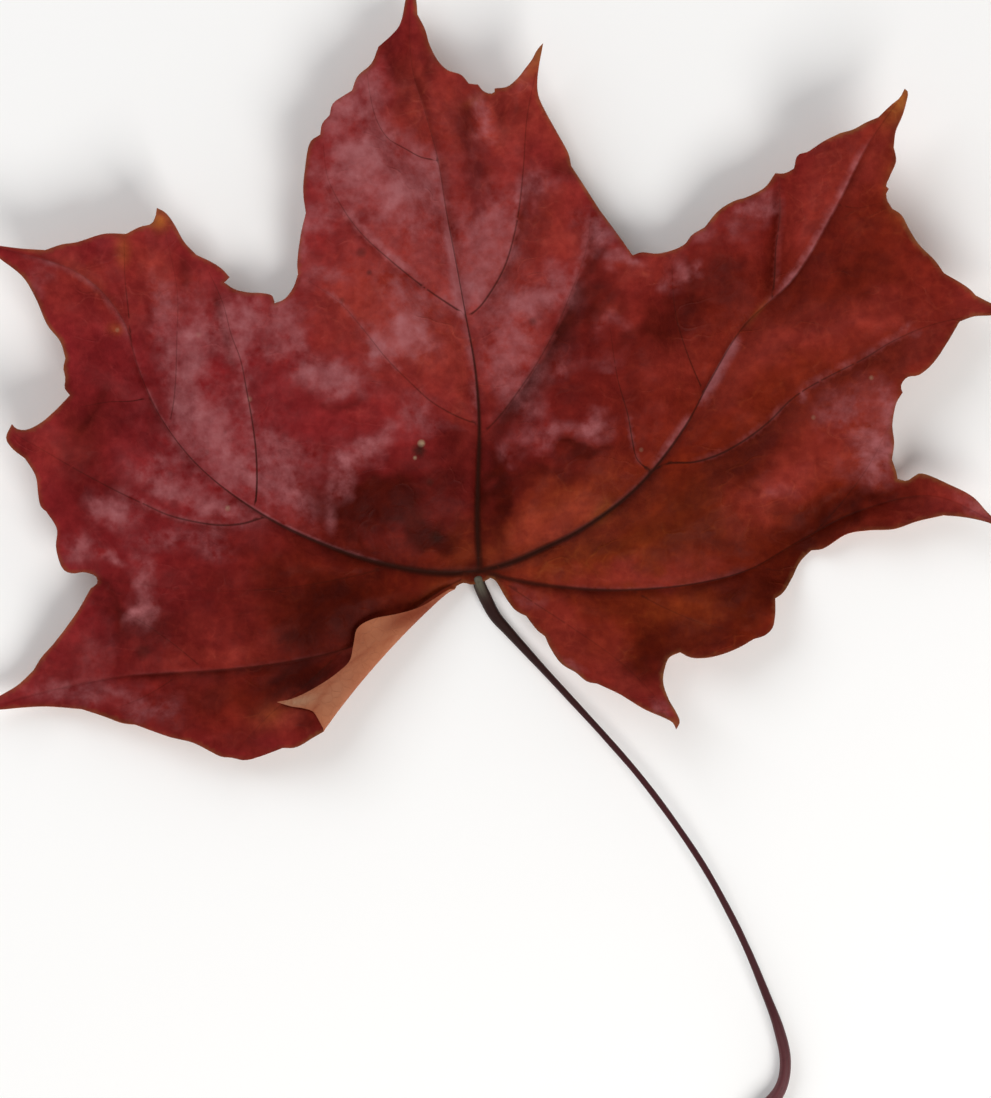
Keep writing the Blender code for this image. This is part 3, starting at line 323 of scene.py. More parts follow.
# Painted sheen: pale pinkish-grey patches that stand in for the room's reflection on the waxy upper face, in
# the same form.
PAINTED_SHEEN_AREAS = [
    (0.6, 73.4, 2.8, 1.5, 110, 0.95), (7.2, 80.6, 2.4, 0.9, 55, 0.35), (-7, 87, 3, 1, 105, 0.35),
    (-8, 56, 24, 18, 90, 0.22), (-44, 28, 22, 16, 90, 0.18), (-18.8, 79.3, 2.6, 2.4, 0, 1),
    (-20.5, 75.3, 4, 2, 20, 0.9), (-15, 71, 3, 2.2, 140, 0.9), (-18.2, 67.6, 3, 2.2, 60, 1.2),
    (-22.5, 68.5, 3.4, 4, 0, 0.7), (-17, 64, 7, 4.5, 150, 0.75), (-12.5, 62, 4, 3, 20, 0.75),
    (-10, 65, 3, 3, 0, 0.5), (-11, 58, 5, 4, 0, 0.3), (-22.8, 62, 3, 2, 110, 0.5),
    (0.5, 52, 5, 4.5, 80, 0.85), (-1, 46.5, 3, 2.6, 0, 0.9), (2.5, 57.5, 4, 3, 60, 0.6),
    (7, 43.5, 6, 2.6, 20, 0.95), (11, 46.5, 3.6, 2.2, 20, 0.7), (9, 63, 4, 1.4, 10, 0.45),
    (18.6, 55.6, 3, 2.6, 130, 1.1), (23.3, 50.4, 2.4, 1.1, 10, 0.9), (-27.2, 57.6, 1.6, 1.8, 0, 0.7),
    (-28, 53.4, 1.2, 2, 0, 0.9), (-24, 57.6, 2, 1.4, 0, 0.5), (-25, 48.4, 4, 1.6, 10, 0.6),
    (-30.5, 42.5, 2.4, 2.4, 0, 0.7), (-12.5, 46.5, 3.6, 2.2, 150, 0.8), (-13, 39.6, 4.2, 2.4, 30, 1.25),
    (-16.4, 36.2, 1.8, 1.4, 30, 1.3), (-9.5, 38, 2.6, 2.6, 0, 0.6), (-22.3, 31.6, 4.6, 1.9, 172, 1.25),
    (-27, 33.6, 2.8, 1.6, 30, 0.9), (-31, 37.5, 3, 2.4, 120, 0.7), (-10, 27, 3, 2, 150, 0.55),
    (-7.5, 23.8, 3.2, 1.2, 10, 0.6), (-15, 24, 2, 1.2, 40, 0.5), (-18, 20.5, 3.6, 1.8, 25, 0.9),
    (-22.3, 17, 1.4, 4.5, 175, 0.75), (-31.5, 15.5, 4.4, 4.4, 0, 0.85), (-33.5, 20.5, 2.6, 3, 0, 0.5),
    (-28, 11, 3, 2.4, 150, 0.5), (-37.5, 42, 2.8, 3.8, 0, 1.15), (-38.7, 34.5, 1.2, 4, 8, 0.8),
    (-45.6, 38, 3.6, 5, 10, 0.95), (-47.5, 29, 2.4, 6, 8, 1.05), (-51.5, 44, 2.2, 4, 10, 0.6),
    (-43, 22.5, 4.6, 4.4, 40, 1), (-39, 17, 2.4, 4.4, 40, 0.9), (-48.5, 14, 5.5, 2.4, 160, 0.85),
    (-41, 10.8, 4, 1.4, 165, 0.8), (-53, 17, 3, 2, 150, 0.4), (-58.6, 10.6, 3, 2.2, 170, 1.15),
    (-64.8, 5, 2.4, 2, 30, 0.95), (-59.6, 2.6, 2.2, 1.2, 160, 1.1), (-54.4, -4, 1.5, 3.2, 5, 1.2),
    (-54, 1.5, 1.2, 2.4, 0, 0.6), (-50, 6.5, 4.4, 1.8, 5, 0.7), (-43, 5.5, 3, 2, 0, 0.4),
    (-66, -18.2, 8, 1.9, 178, 0.75), (-53, -20.6, 5, 2, 165, 0.6), (-62, -12, 5, 3, 60, 0.25),
    (-71, 47, 2, 3, 140, 0.4), (4.8, 36.5, 3.2, 5, 155, 0.9), (7.4, 30.6, 2, 3, 150, 0.6),
    (3, 29, 1.6, 2.6, 160, 0.5), (11.5, 23, 4.4, 1.8, 5, 0.75), (18, 24.6, 3.8, 1.6, 178, 0.85),
    (9, 27, 2, 1.4, 20, 0.5), (4.8, 20, 1.4, 1.6, 0, 0.6), (12.6, 34, 2, 2.6, 150, 0.4),
    (20, 35, 3, 1.2, 10, 0.35), (20.5, 40, 3, 1.6, 30, 0.4), (43.6, 58.6, 3.4, 1.9, 30, 0.85),
    (35, 55, 3, 1.2, 40, 0.4), (31.6, 48.5, 1.8, 2.2, 0, 0.7), (34.9, 49.3, 0.9, 0.9, 0, 0.8),
    (63, 20, 3.6, 4.6, 150, 1), (58, 27, 4.6, 3, 30, 0.6), (47, 13.4, 3.4, 1.6, 20, 0.25),
    (65, 27.5, 1.6, 3, 10, 0.6), (51.4, 29.9, 1.6, 0.9, 30, 1), (68.6, 40, 1.3, 0.9, 30, 0.7),
    (79, 11.5, 4, 1.1, 145, 0.7), (29.5, -21.5, 2.4, 1.6, 140, 0.5), (14, -14, 3, 1, 140, 0.4),
    (8, -3.5, 3, 1.4, 140, 0.35),
]
# Yellowed tips and thin dry places at the margin. The first, beside the right rib at (44, 43), is a painted
# tan highlight.
AMBER_AREAS = [
    (44.2, 42.6, 2.4, 0.4, 50, 0.3), (9.2, 84, 2.6, 1.2, 76, 0.9), (7.6, 81.2, 2, 1, 60, 0.35),
    (67, 76.2, 3.6, 1.5, 60, 1), (-51.4, 57, 1.3, 1.3, 0, 1), (-1.2, 76.2, 1.4, 0.7, 30, 0.25),
    (-57.2, 52.5, 1.2, 2.6, 0, 0.4), (19.5, 11, 2.4, 1.2, 60, 0.3), (66.2, 61, 1.5, 4, 10, 0.35),
    (-58.5, 40, 1.2, 0.9, 0, 0.35), (-33.5, -22, 3, 1.6, 20, 0.25),
]
# Painted highlight and painted shade beside the sunken veins, as the key light from the lower right gives
# them: the vein, the part of its length (from, to), which side is lit and paler (1 for the left looking out
# from the hub, -1 for the right), then width and strength of the painted highlight on that side and of the
# painted shade on the other.
VEIN_LIGHT_AND_SHADE = [
    ("middle", 0.24, 0.48, 1, 1, 0.8, 0.5, 0.1), ("middle", 0.42, 0.6, 1, 1.2, 2.8, 0.7, 0.4),
    ("middle", 0.5, 0.74, 1, 0.9, 1.3, 1.1, 0.45), ("middle", 0.7, 0.86, 1, 0.6, 0.2, 1.2, 0.4),
    ("middle_right", 0.04, 0.6, 1, 1.1, 1.2, 1.6, 0.6), ("middle_left", 0.16, 0.8, -1, 1.3, 1.1, 0.8, 0.35),
    ("tip_left", 0.3, 0.9, -1, 0.9, 0.8, 0.5, 0.2), ("low_left", 0.4, 0.75, -1, 0.6, 0.9, 0.5, 0.3),
    ("low_left", 0.7, 0.96, -1, 0.4, 0.9, 0.4, 0.2), ("low_right", 0.02, 0.8, 1, 0.5, 0.5, 3, 0.95),
    ("low_right", 0.6, 1, 1, 0.9, 1.1, 2, 0.5), ("left", 0.14, 0.45, -1, 0.45, 1.2, 1.6, 0.45),
    ("left", 0.45, 0.72, -1, 0.5, 0.6, 0.9, 0.4), ("left", 0.7, 0.96, 1, 0.7, 0.6, 0.9, 0.3),
    ("left_up", 0.04, 0.62, 1, 0.7, 1.1, 0.6, 0.3), ("left_down", 0.06, 0.62, -1, 0.5, 1.1, 1, 0.5),
    ("right", 0.12, 0.36, 1, 0.6, 0.3, 1.2, 0.4), ("right", 0.31, 0.42, 1, 0.9, 0.9, 0.8, 0.3),
    ("right", 0.43, 0.56, -1, 1.1, 1.6, 0.7, 0.4), ("right", 0.6, 0.93, 1, 0.8, 0.9, 1.6, 0.55),
    ("right_down", 0.08, 0.45, 1, 0.6, 0.5, 1.5, 0.45), ("right_down", 0.42, 0.78, 1, 0.9, 0.6, 1.6, 0.4),
    ("right_up", 0, 0.96, -1, 0.9, 0.3, 1.4, 0.8), ("right_near", 0.05, 0.5, 1, 0.4, 0.7, 0.5, 0.2),
    ("right_basal", 0.12, 0.55, 1, 0.6, 0.3, 0.9, 0.45), ("left_basal", 0.3, 0.75, -1, 0.6, 0.2, 1.2, 0.7),
]
# Dark streaks of painted shade in the folds and valleys of the upper face, and darker bands along the ribs
# near the hub that are partly the ribs' own colour and partly painted shade in their grooves: half width,
# strength, and the line each follows.
FOLD_SHADE_STREAKS = [
    (0.9, 0.5, [(17.5, 48.5), (18.6, 51.5), (20.6, 53.2)]),
    (2.3, 0.42, [(-3.4, 76), (-2.8, 71), (-0.8, 66.5), (1.2, 61)]),
    (0.8, 0.55, [(-42.6, 46.5), (-41.4, 41), (-40.3, 36.5), (-39.6, 33)]),
    (0.9, 0.4, [(-47.8, 51.5), (-46.6, 46.5)]),
    (1.5, 0.7, [(-0.2, 1.1), (-6, 0.8), (-12, 1.4), (-20, 3.3), (-28, 6.3)]),
    (1.1, 0.6, [(-0.2, 1.1), (-0.5, 8), (-0.4, 16), (-0.2, 24)]),
    (1, 0.6, [(-0.2, 1.1), (8, 3.7), (16, 7.6), (24, 13.2), (31, 21.2)]),
    (0.8, 0.5, [(2, 0.6), (9, -1.2), (20, -2.4), (32, -2.2), (43, 0.6)]),
    (0.7, 0.4, [(-26, 27.6), (-22, 27.3), (-18.5, 29)]),
    (0.8, 0.5, [(-65, 22.5), (-62.5, 25.5), (-60, 31)]),
    (0.6, 0.4, [(-61.5, 0.8), (-58.5, -3), (-57.5, -8)]),
    (0.5, 0.35, [(33, 41), (33.8, 46), (32.8, 52)]),
    (0.6, 0.35, [(22, 38.6), (26.5, 39.6), (31, 38.5)]),
]
# Painted highlight streaks on the lit walls beside veins, in the same form.
HIGHLIGHT_STREAKS = [
    (0.9, 0.45, [(-24, 6.5), (-24, 13), (-23.7, 21)]),
    (0.3, 0.5, [(-49, 25.5), (-48.4, 30), (-48.5, 36)]),
    (0.9, 0.8, [(-6.4, 45), (-4.6, 43.6), (-3.4, 42.6)]),
    (0.55, 1.3, [(-5.3, 53), (-4.5, 48), (-3.5, 43)]),
]
# Small marks on the upper face: x, y, radius, darkening (below 0) or paling (above 0).
MARKS = [
    (-9.6, 21.6, 0.75, 0.75), (-10.6, 19.3, 0.45, 0.65), (-9.9, 20.5, 1.6, -0.9), (-7.2, 6.6, 1.6, -0.7),
    (-8.2, 15.4, 0.9, -0.5), (62.4, 32, 0.5, 0.3), (53.2, 25.7, 0.5, 0.2), (-19.2, 52.1, 1.1, -0.55),
    (-17.9, 48.9, 0.6, -0.6), (-9.8, 46.9, 0.8, -0.45), (-22.3, 44.4, 0.7, -0.5), (8.3, 41.1, 0.9, -0.55),
    (-54.2, -11.8, 1.6, -0.45), (-40.6, 11.2, 0.6, 0.35), (-58.3, 39.8, 0.5, 0.2), (-43.8, 20.3, 0.6, -0.4),
    (-41, 23.4, 0.5, -0.4), (-45.2, 39, 0.6, 0.2), (25.6, 20.6, 0.5, 0.2), (-37, 28.7, 0.6, 0.25),
    (65.2, 21.6, 0.7, -0.3),
]

# Pale and darker places on the rolled tooth, where it lies over the blade, in the same form as the colours.
UNDERSIDE_PALE = [
    (-29.5, -19.8, 3, 0.8, 12, 0.4), (-23.5, -18.5, 4.5, 2.6, 55, 0.08),
]
UNDERSIDE_DARK = [
    (-8.5, -4.2, 5, 2.2, 32, 0.75), (-13, -6.8, 4, 1.2, 30, 0.55), (-19.5, -9.4, 1.6, 2.6, 0, 0.45),
    (-22, -22.3, 4, 0.8, 50, 0.25),
]
UNDERSIDE_LINE = [(-27.0, -21.3), (-23.0, -15.6), (-19.5, -12.6), (-14.0, -9.4)]  # a fine orange vein


# The stem's middle line in plan, from the hub to its foot, and its diameter along its length (share, mm).
STEM_ROUTE = [(-0.45, -0.3), (-0.2, -1.2), (0.8, -3.4), (2.2, -6), (4.3, -8.4), (8.3, -12.8), (13.75, -18.7),
    (19.9, -25.4), (25.2, -31.5), (30.3, -38.2), (35.5, -45.9), (39.8, -53.6), (42.75, -59.7), (45.55, -66.5),
    (47.55, -71.8), (48.7, -77), (48.2, -81.1), (46, -84.7), (43.9, -87.4)]
STEM_DIAMETERS = [(0, 1.9), (0.03, 2), (0.06, 1.9), (0.13, 1.35), (0.24, 1.05), (0.5, 1), (0.72, 1.15),
    (0.85, 1.7), (0.92, 1.9), (0.97, 2.8), (1, 3.3)]
STEM_ARCH = 4.2
STEM_CAP_LIFT = 0.75  # how far its end at the hub is raised, so that it shows on the blade's upper face
STEM_CAP_REACH = 0.025  # share of its length over which it sinks back
STEM_START_LIFT = 0.15
STEM_ARCH_EASE = 1.3
STEM_NOSE = 0.7  # length of its round end under the blade's skin
# The rings that close its foot: share of its radius there, and how far out they lie.
STEM_CUP = [(1, 0.1), (0.99, 0.16), (0.93, 0.15), (0.78, 0.02), (0.5, -0.14), (0.2, -0.22), (0.03, -0.24)]
STEM_RIDGES = [(9, 0.022, 0.6), (17, 0.012, 0.0)]  # fine ridges along it: how many round it, height, phase
STEM_RINGS = 420
STEM_SIDES = 40


# --- Curves and distances ---


def smooth_curve(points, step):
    """Points every step or so along the centripetal Catmull-Rom curve through the given ones."""
    points = np.array(points, float)
    if len(points) < 3:
        count = max(2, round(np.linalg.norm(points[-1] - points[0]) / step) + 1)
        return points[0] + (points[-1] - points[0]) * np.linspace(0, 1, count)[:, None]
    padded = np.vstack([2 * points[0] - points[1], points, 2 * points[-1] - points[-2]])
    knots = np.concatenate([[0], np.cumsum(np.linalg.norm(np.diff(padded, axis=0), axis=1) ** 0.5)])
    fine = []
    for i in range(1, len(padded) - 2):
        t = np.linspace(knots[i], knots[i + 1], FINE_STEPS, endpoint=False)[:, None]
        rows = padded[i - 1:i + 3]
        for spans in (((-1, 0), (0, 1), (1, 2)), ((-1, 1), (0, 2)), ((0, 1),)):
            ends = [(knots[i + a], knots[i + b]) for a, b in spans]
            pairs = zip(ends, rows, rows[1:])
            rows = [(b - t) / (b - a) * p + (t - a) / (b - a) * q for (a, b), p, q in pairs]
        fine.append(rows[0])
    fine = np.vstack(fine + [points[-1:]])
    along = lengths_along(fine)
    even = np.linspace(0, along[-1], max(2, round(along[-1] / step) + 1))
    return np.stack([np.interp(even, along, fine[:, k]) for k in range(fine.shape[1])], axis=1)


def lengths_along(path):
    """How far along a polyline each of its points lies."""
    return np.concatenate([[0], np.cumsum(np.linalg.norm(np.diff(path, axis=0), axis=1))])


def bell(value, reach, power=2):
    """A bell-shaped fall from 1 at zero towards 0 past the reach."""
    return np.exp(-((value / reach) ** power))


def circle(centre, radius, count):
    """Evenly spaced points on a circle."""
    turn = np.arange(count) * 2 * math.pi / count
    return np.array(centre) + radius * np.stack([np.cos(turn), np.sin(turn)], axis=1)


def distance_to(points, path):
    """Each point's distance to a polyline, how far along it the nearest place is (0 to 1), and on which side.

    The side is 1 on the left of the way the polyline runs, and -1 on its right.
    """
    before = lengths_along(path)
    nearest = np.full(len(points), np.inf)
    share, side = np.zeros((2, len(points)))
    for start, end, so_far in zip(path[:-1], path[1:], before):
        length = np.linalg.norm(end - start)
        t = np.clip((points - start) @ (end - start) / length**2, 0, 1)
        offset = points - start - t[:, None] * (end - start)
        gap = np.einsum("ij,ij->i", offset, offset)
        closer = gap < nearest
        nearest[closer] = gap[closer]
        share[closer] = (so_far + t[closer] * length) / before[-1]
        side[closer] = np.sign((end - start)[0] * offset[closer, 1] - (end - start)[1] * offset[closer, 0])
    return np.sqrt(nearest), share, side


def gap_to_ribs(points):
    """Each point's distance to the nearest rib."""
    return np.min([distance_to(points, smooth_curve(route, 2.0))[0] for *_, route in RIBS.values()], axis=0)


def gap_to_margin(points, outline):
    """Each point's distance to the closed margin."""
    return distance_to(points, np.vstack([outline, outline[:1]]))[0]


def inside(points, outline):
    """Which points lie inside the closed outline, by counting its crossings to the right of each."""
    found = np.zeros(len(points), bool)
    for (x0, y0), (x1, y1) in zip(outline, np.roll(outline, -1, axis=0)):
        spans = (y0 > points[:, 1]) != (y1 > points[:, 1])
        if y0 != y1:
            found ^= spans & (points[:, 0] < x0 + (points[:, 1] - y0) / (y1 - y0) * (x1 - x0))
    return found


def bumps(points, spots):
    """Sum of bell-shaped spots at the points."""
    total = np.zeros(len(points))
    for x, y, long_half, short_half, turn, strength in spots:
        c, s = math.cos(math.radians(turn)), math.sin(math.radians(turn))
        u, v = (points - (x, y)) @ [c, s] / long_half, (points - (x, y)) @ [-s, c] / short_half
        total += strength * np.exp(-(u**2 + v**2))
    return total


def streaks(points, lines):
    """The strongest of some soft streaks at the points. Each has a half width, a strength and a line."""
    total = np.zeros(len(points))
    for half, strength, route in lines:
        gap, share, _ = distance_to(points, smooth_curve(route, 1.0))
        fade = np.clip(np.minimum(share, 1 - share) * 7, 0, 1) * 0.75 + 0.25
        total = np.maximum(total, strength * fade * bell(gap, half))
    return total


def ripples(points, wavelength, seed, count=14):
    """A soft random relief, mostly between -1 and 1: added waves of about one length in seeded directions."""
    random = np.random.default_rng(seed)
    turn = random.uniform(0, 2 * math.pi, count)
    number = 2 * math.pi / wavelength * random.uniform(0.6, 1.5, count)
    phase = random.uniform(0, 2 * math.pi, count)
    waves = points @ (np.stack([np.cos(turn), np.sin(turn)]) * number) + phase
    return np.sin(waves).sum(axis=1) / math.sqrt(count)


def drift(points, wavelength, seed):
    """A soft random shift of each point in plan."""
    return np.stack([ripples(points, wavelength, seed), ripples(points, wavelength, seed + 1)], axis=1)


def cell_edges(points, size, seed):
    """How far each point is from the nearest border between cells of about the given size, in cell sizes.

    The cells are the regions nearest to one jittered seed point in each square of a grid. The distance to the
    border is half the difference between the two nearest seed points' distances.
    """
    scaled = points / size
    square = np.floor(scaled).astype(int)
    near = np.full((2, len(points)), 9.0)
    for step in NEIGHBOURS:
        cell = square + step
        jitter = [np.sin(cell @ factors + seed) * 43758.5453 for factors in ([127.1, 311.7], [269.5, 183.3])]
        spot = cell + 0.15 + 0.7 * np.stack([value - np.floor(value) for value in jitter], axis=1)
        gap = np.linalg.norm(scaled - spot, axis=1)
        near[1] = np.minimum(near[1], np.maximum(near[0], gap))
        near[0] = np.minimum(near[0], gap)
    return (near[1] - near[0]) / 2


# --- The blade's plan ---


def roll_frame(points):
    """At each point: the roll's radius, where it starts, and the point's place across and along the roll.

    The last value is the way across. Places are in millimetres, from the end of the roll beside the hub.
    """
    length = np.linalg.norm(ROLL_END - ROLL_START)
    along = (ROLL_END - ROLL_START) / length
    across = np.array([-along[1], along[0]])
    onward = (points - ROLL_START) @ along
    swell = np.sin(math.pi * np.clip(onward / length, 0, 1)) ** 0.7
    radius = ROLL_END_RADIUS + (ROLL_RADIUS - ROLL_END_RADIUS) * swell
    return radius, -ROLL_DIP * swell - radius, (points - ROLL_START) @ across, onward, across


def unrolled(points):
    """Plan points of the rolled tooth, given where they lie over the blade, laid out flat beyond the roll."""
    radius, start, place, _, across = roll_frame(np.array(points, float))
    return points + across * (2 * start + math.pi * radius - 2 * place)[:, None]


def rolled(points):
    """Where flat plan points go once the basal edge is rolled over: their new plan, and their rise.

    Points past either end of the roll stay: its far end is the notch between the tooth and the lobe's rest.
    """
    radius, start, place, onward, across = roll_frame(points)
    length = np.linalg.norm(ROLL_END - ROLL_START)
    rolls = (onward > 0) & (onward < length + ROLL_END_SLANT * place)
    beyond = np.where(rolls, np.maximum(place - start, 0), 0)
    turn = np.minimum(beyond / radius, math.pi)
    over = np.maximum(beyond - math.pi * radius, 0)
    shift = radius * np.sin(turn) - over - beyond
    swell = (radius - ROLL_END_RADIUS) / (ROLL_RADIUS - ROLL_END_RADIUS)
    settled = 1 - ROLL_SETTLE * swell * (1 - bell(over, ROLL_SETTLE_REACH))
    return points + across * shift[:, None], radius * (1 - np.cos(turn)) * settled


def margin():
    """The blade's closed margin as flat plan points, with every corner kept."""
    tooth = [[tuple(p) for p in unrolled(run)] for run in ROLLED_TOOTH]
    runs = RIGHT_BASAL_LOBE + RIGHT_LOBE + MIDDLE_LOBE + LEFT_LOBE + LEFT_BASAL_LOBE
    runs = runs + [tooth[0][:1], tooth[0][1:], tooth[1][:1], tooth[1][1:], HUB_EDGE[:1], HUB_EDGE[1:]]
    starts = [HUB_EDGE[-1]] + [run[-1] for run in runs[:-1]]
    return np.vstack([smooth_curve([start] + run, MARGIN_STEP)[:-1] for start, run in zip(starts, runs)])


def unit(vectors):
    """The vectors, each at length 1."""
    return vectors / np.linalg.norm(vectors, axis=1)[:, None]


def offset_rows(route, half, offsets, step):
    """Rows of points along a curve, each set to its side by an offset times the tapering half width."""
    middle = smooth_curve(route, step)
    heading = unit(np.gradient(middle, axis=0))
    side = np.stack([-heading[:, 1], heading[:, 0]], axis=1)
    widths = np.linspace(half[0], half[1], len(middle))[:, None]
    return np.vstack([middle + side * widths * offset for offset in offsets])


def plan_points(outline):
    """The plan's points inside the margin: rows along veins and round the roll, rings round the hub, a grid.

    Each group keeps clear of the ones before it, so that no two points nearly coincide.
    """
    ribs, veins = (
        np.vstack([offset_rows(route, widths, rows, VEIN_STEP) for *_, route in group.values()])
        for group, widths, rows in ((RIBS, RIB_WIDTHS, RIB_ROWS), (SIDE_VEINS, VEIN_WIDTHS, VEIN_ROWS)))
    ribs = ribs[np.linalg.norm(ribs - HUB, axis=1) > HUB_RADIUS + 0.9]
    veins = veins[gap_to_ribs(veins) > RIB_HALF_WIDTH + 0.25]
    rings = np.vstack([HUB[None]] + [circle(HUB, radius, count) for radius, count in HUB_RINGS])
    line = ROLL_START + (ROLL_END - ROLL_START) * np.linspace(0.005, 0.995, 48)[:, None]
    radius, start, _, _, across = roll_frame(line)
    roll = np.vstack([line + across * (start + radius * math.pi * k / 9)[:, None] for k in range(10)])
    marks = np.vstack([
        circle(place, reach * part, count) for *place, reach, _ in MARKS for part, count in MARK_RINGS])
    low, high = outline.min(0), outline.max(0)
    rows = np.arange(low[1], high[1], GRID_STEP * math.sqrt(3) / 2)
    columns = np.arange(low[0], high[0], GRID_STEP)
    x = columns[None] + (np.arange(len(rows)) % 2 * GRID_STEP / 2)[:, None]
    grid = np.stack([x, np.repeat(rows[:, None], len(columns), 1)], axis=-1).reshape(-1, 2)
    points = ribs
    for group, gap in ((veins, 0.25), (rings, 0.25), (roll, 0.22), (marks, 0.22), (grid, 0.42)):
        points = np.vstack([points, apart(group[inside(group, outline)], points, gap)])
    return points[inside(points, outline) & (gap_to_margin(points, outline) > 0.3)]


def apart(points, others, gap):
    """The points that are at least a gap away from all the others and from the points before them.

    Points are sorted into squares of the gap's size: only those in the same or a touching one are measured.
    """
    everything = np.vstack([others, points])
    keys = np.floor(everything / gap).astype(np.int64)
    code = keys @ [1_000_003, 1]
    order = np.argsort(code, kind="stable")
    keep = np.ones(len(everything), bool)
    for step in NEIGHBOURS:
        wanted = (keys + step) @ [1_000_003, 1]
        first, last = (np.searchsorted(code[order], wanted, side) for side in ("left", "right"))
        for k in range(int((last - first).max())):
            mate = order[np.minimum(first + k, len(order) - 1)]
            near = np.linalg.norm(everything - everything[mate], axis=1) < gap
            keep &= ~((first + k < last) & near & (mate < np.arange(len(everything))))
    return points[keep[len(others):]]


# --- The blade's relief ---


def vein_fields(points):
    """What depends on the veins, at flat plan points.

    line: distance from the nearest vein, in half widths of its dark line. dark: how dark that line is.
    depth: how far the underside's ridges stand out. groove: how far the upper face is sunk.
    nearest: distance to any vein, in millimetres.
    """
    from_hub = np.linalg.norm(points - HUB, axis=1)
    depth, groove, dark = np.zeros((3, len(points)))
    nearest, line = np.full((2, len(points)), np.inf)
    for name, (start_width, end_width, strength, route) in {**RIBS, **SIDE_VEINS}.items():
        gap, share, _ = distance_to(points, smooth_curve(route, 1.5))
        if name in RIBS:
            narrowed = np.clip((share - RIB_NARROW_START) / RIB_NARROW_LENGTH, 0, 1) ** 0.8
            shade = strength * (0.25 + 0.75 * bell(from_hub, RIB_DARK_REACH, 4))
            half = RIB_HALF_WIDTH * (1 - 0.55 * share)
            full, ridge_half = RIB_DEPTH + (RIB_END_DEPTH - RIB_DEPTH) * share**0.7, half * 1.02
            sunk = RIB_GROOVE * (1 - 0.7 * share) * bell(gap, half * 0.75)
        else:
            narrowed = share
            shade = strength * (1 - 0.75 * share)
            full, ridge_half = VEIN_DEPTH * (1 - 0.5 * share), VEIN_HALF_WIDTH
            sunk = VEIN_GROOVE * (1 - 0.5 * share) * bell(gap, VEIN_GROOVE_REACH)
        width = start_width + (end_width - start_width) * narrowed
        closer = gap / width < line
        line = np.where(closer, gap / width, line)
        dark = np.where(closer, shade, dark)
        depth = np.maximum(depth, full * np.sqrt(np.clip(1 - (gap / ridge_half) ** 2, 0, 1)))
        groove = np.maximum(groove, sunk)
        nearest = np.minimum(nearest, gap)
    return {"line": np.minimum(line, 9.0), "dark": dark, "depth": depth, "groove": groove, "nearest": nearest}


def margin_ripple(points, outline):
    """The up and down of the margin near each point: a blend, mostly of the nearest places."""
    steps = np.linalg.norm(np.roll(outline, -1, axis=0) - outline, axis=1)
    around = 2 * math.pi * (np.cumsum(steps) - steps) / steps.sum()
    waves = sum(strength * np.sin(count * around + phase) for count, strength, phase in RIPPLES)
    parts = []
    for part in np.array_split(points, len(points) // 2000 + 1):
        gap = ((part**2).sum(1)[:, None] + (outline**2).sum(1)) - 2 * part @ outline.T
        weight = np.exp(-(gap - gap.min(axis=1)[:, None]) / RIPPLE_BLEND**2)
        parts.append(weight @ waves / weight.sum(axis=1))
    return np.concatenate(parts)


def height(points, outline):
    """Height of the blade's middle surface over plan points: arched ribs, puffs, waves and curled tips."""
    arch = smooth_curve(RIB_ARCH, 1.0)
    from_hub = np.linalg.norm(points - HUB, axis=1)
    z = np.interp(from_hub, arch[:, 0], arch[:, 1])
    near_hub = 1 - bell(from_hub, HUB_STIFFNESS)
    z += PUFF * near_hub * (1 - bell(gap_to_ribs(points), PUFF_REACH))
    hem = HEM_LIFT * near_hub * bell(gap_to_margin(points, outline), HEM_WIDTH)
    z += hem * (HEM_MEAN + HEM_SWING * margin_ripple(points, outline))
    z += bumps(points, WAVES)
    return z + bumps(points, [(x, y, reach, reach, 0, rise) for x, y, reach, rise in TIP_CURLS])


def fine_relief(points, nearest):
    """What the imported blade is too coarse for: fields puffed between the side veins, small waves, a net."""
    fields = FIELD_PUFF * (1 - bell(nearest, FIELD_REACH))
    waves = sum(strength * ripples(points, wavelength, seed) for strength, wavelength, seed in WRINKLES)
    creased = points * [0.35, 1.0] + 0.8 * drift(points, 14.0, 8)
    waves += CREASE_HEIGHT * ripples(creased, 2.4, 6)
    net = -NET_DEPTH * bell(cell_edges(points, NET_SIZE, 1.0), 0.12)
    to_roll = distance_to(points, np.array([ROLL_START, ROLL_END]))[0]
    calm = 1 - ROLL_CALM * bell(to_roll, ROLL_CALM_REACH, 4)
    return calm * (fields + (waves + net) * (1 - bell(nearest, 1.2)))


def vertex_normals(points, faces):
    """Unit normals at the points, from the faces round each."""
    corners = points[faces]
    across = np.cross(corners[:, 1] - corners[:, 0], corners[:, 2] - corners[:, 0])
    normals = np.zeros_like(points)
    for k in range(3):
        for axis in range(3):
            normals[:, axis] += np.bincount(faces[:, k], across[:, axis], len(points))
    return unit(normals)


def triangulated(outline, points):
    """The flat plan cut into triangles between its points, without those outside the margin."""
    plan = np.vstack([outline, points])
    rim = len(outline)
    edges = [(i, (i + 1) % rim) for i in range(rim)]
    flat, _, faces, *_ = delaunay_2d_cdt(plan.tolist(), edges, [], 1, 1e-5)
    flat = np.array([tuple(p) for p in flat])
    faces = np.array(faces)
    return flat, faces[inside(flat[faces].mean(axis=1), outline)]


# --- Colour ---


def plain(colour, count):
    """One colour, for each of a number of points."""
    return np.tile(np.array(colour)[:3], (count, 1))


def mixed(under, over, share):
    """Two colours, or arrays of them, mixed by a share between 0 and 1."""
    share = np.clip(share, 0, 1)[:, None]
    return under * (1 - share) + np.array(over)[:3] * share


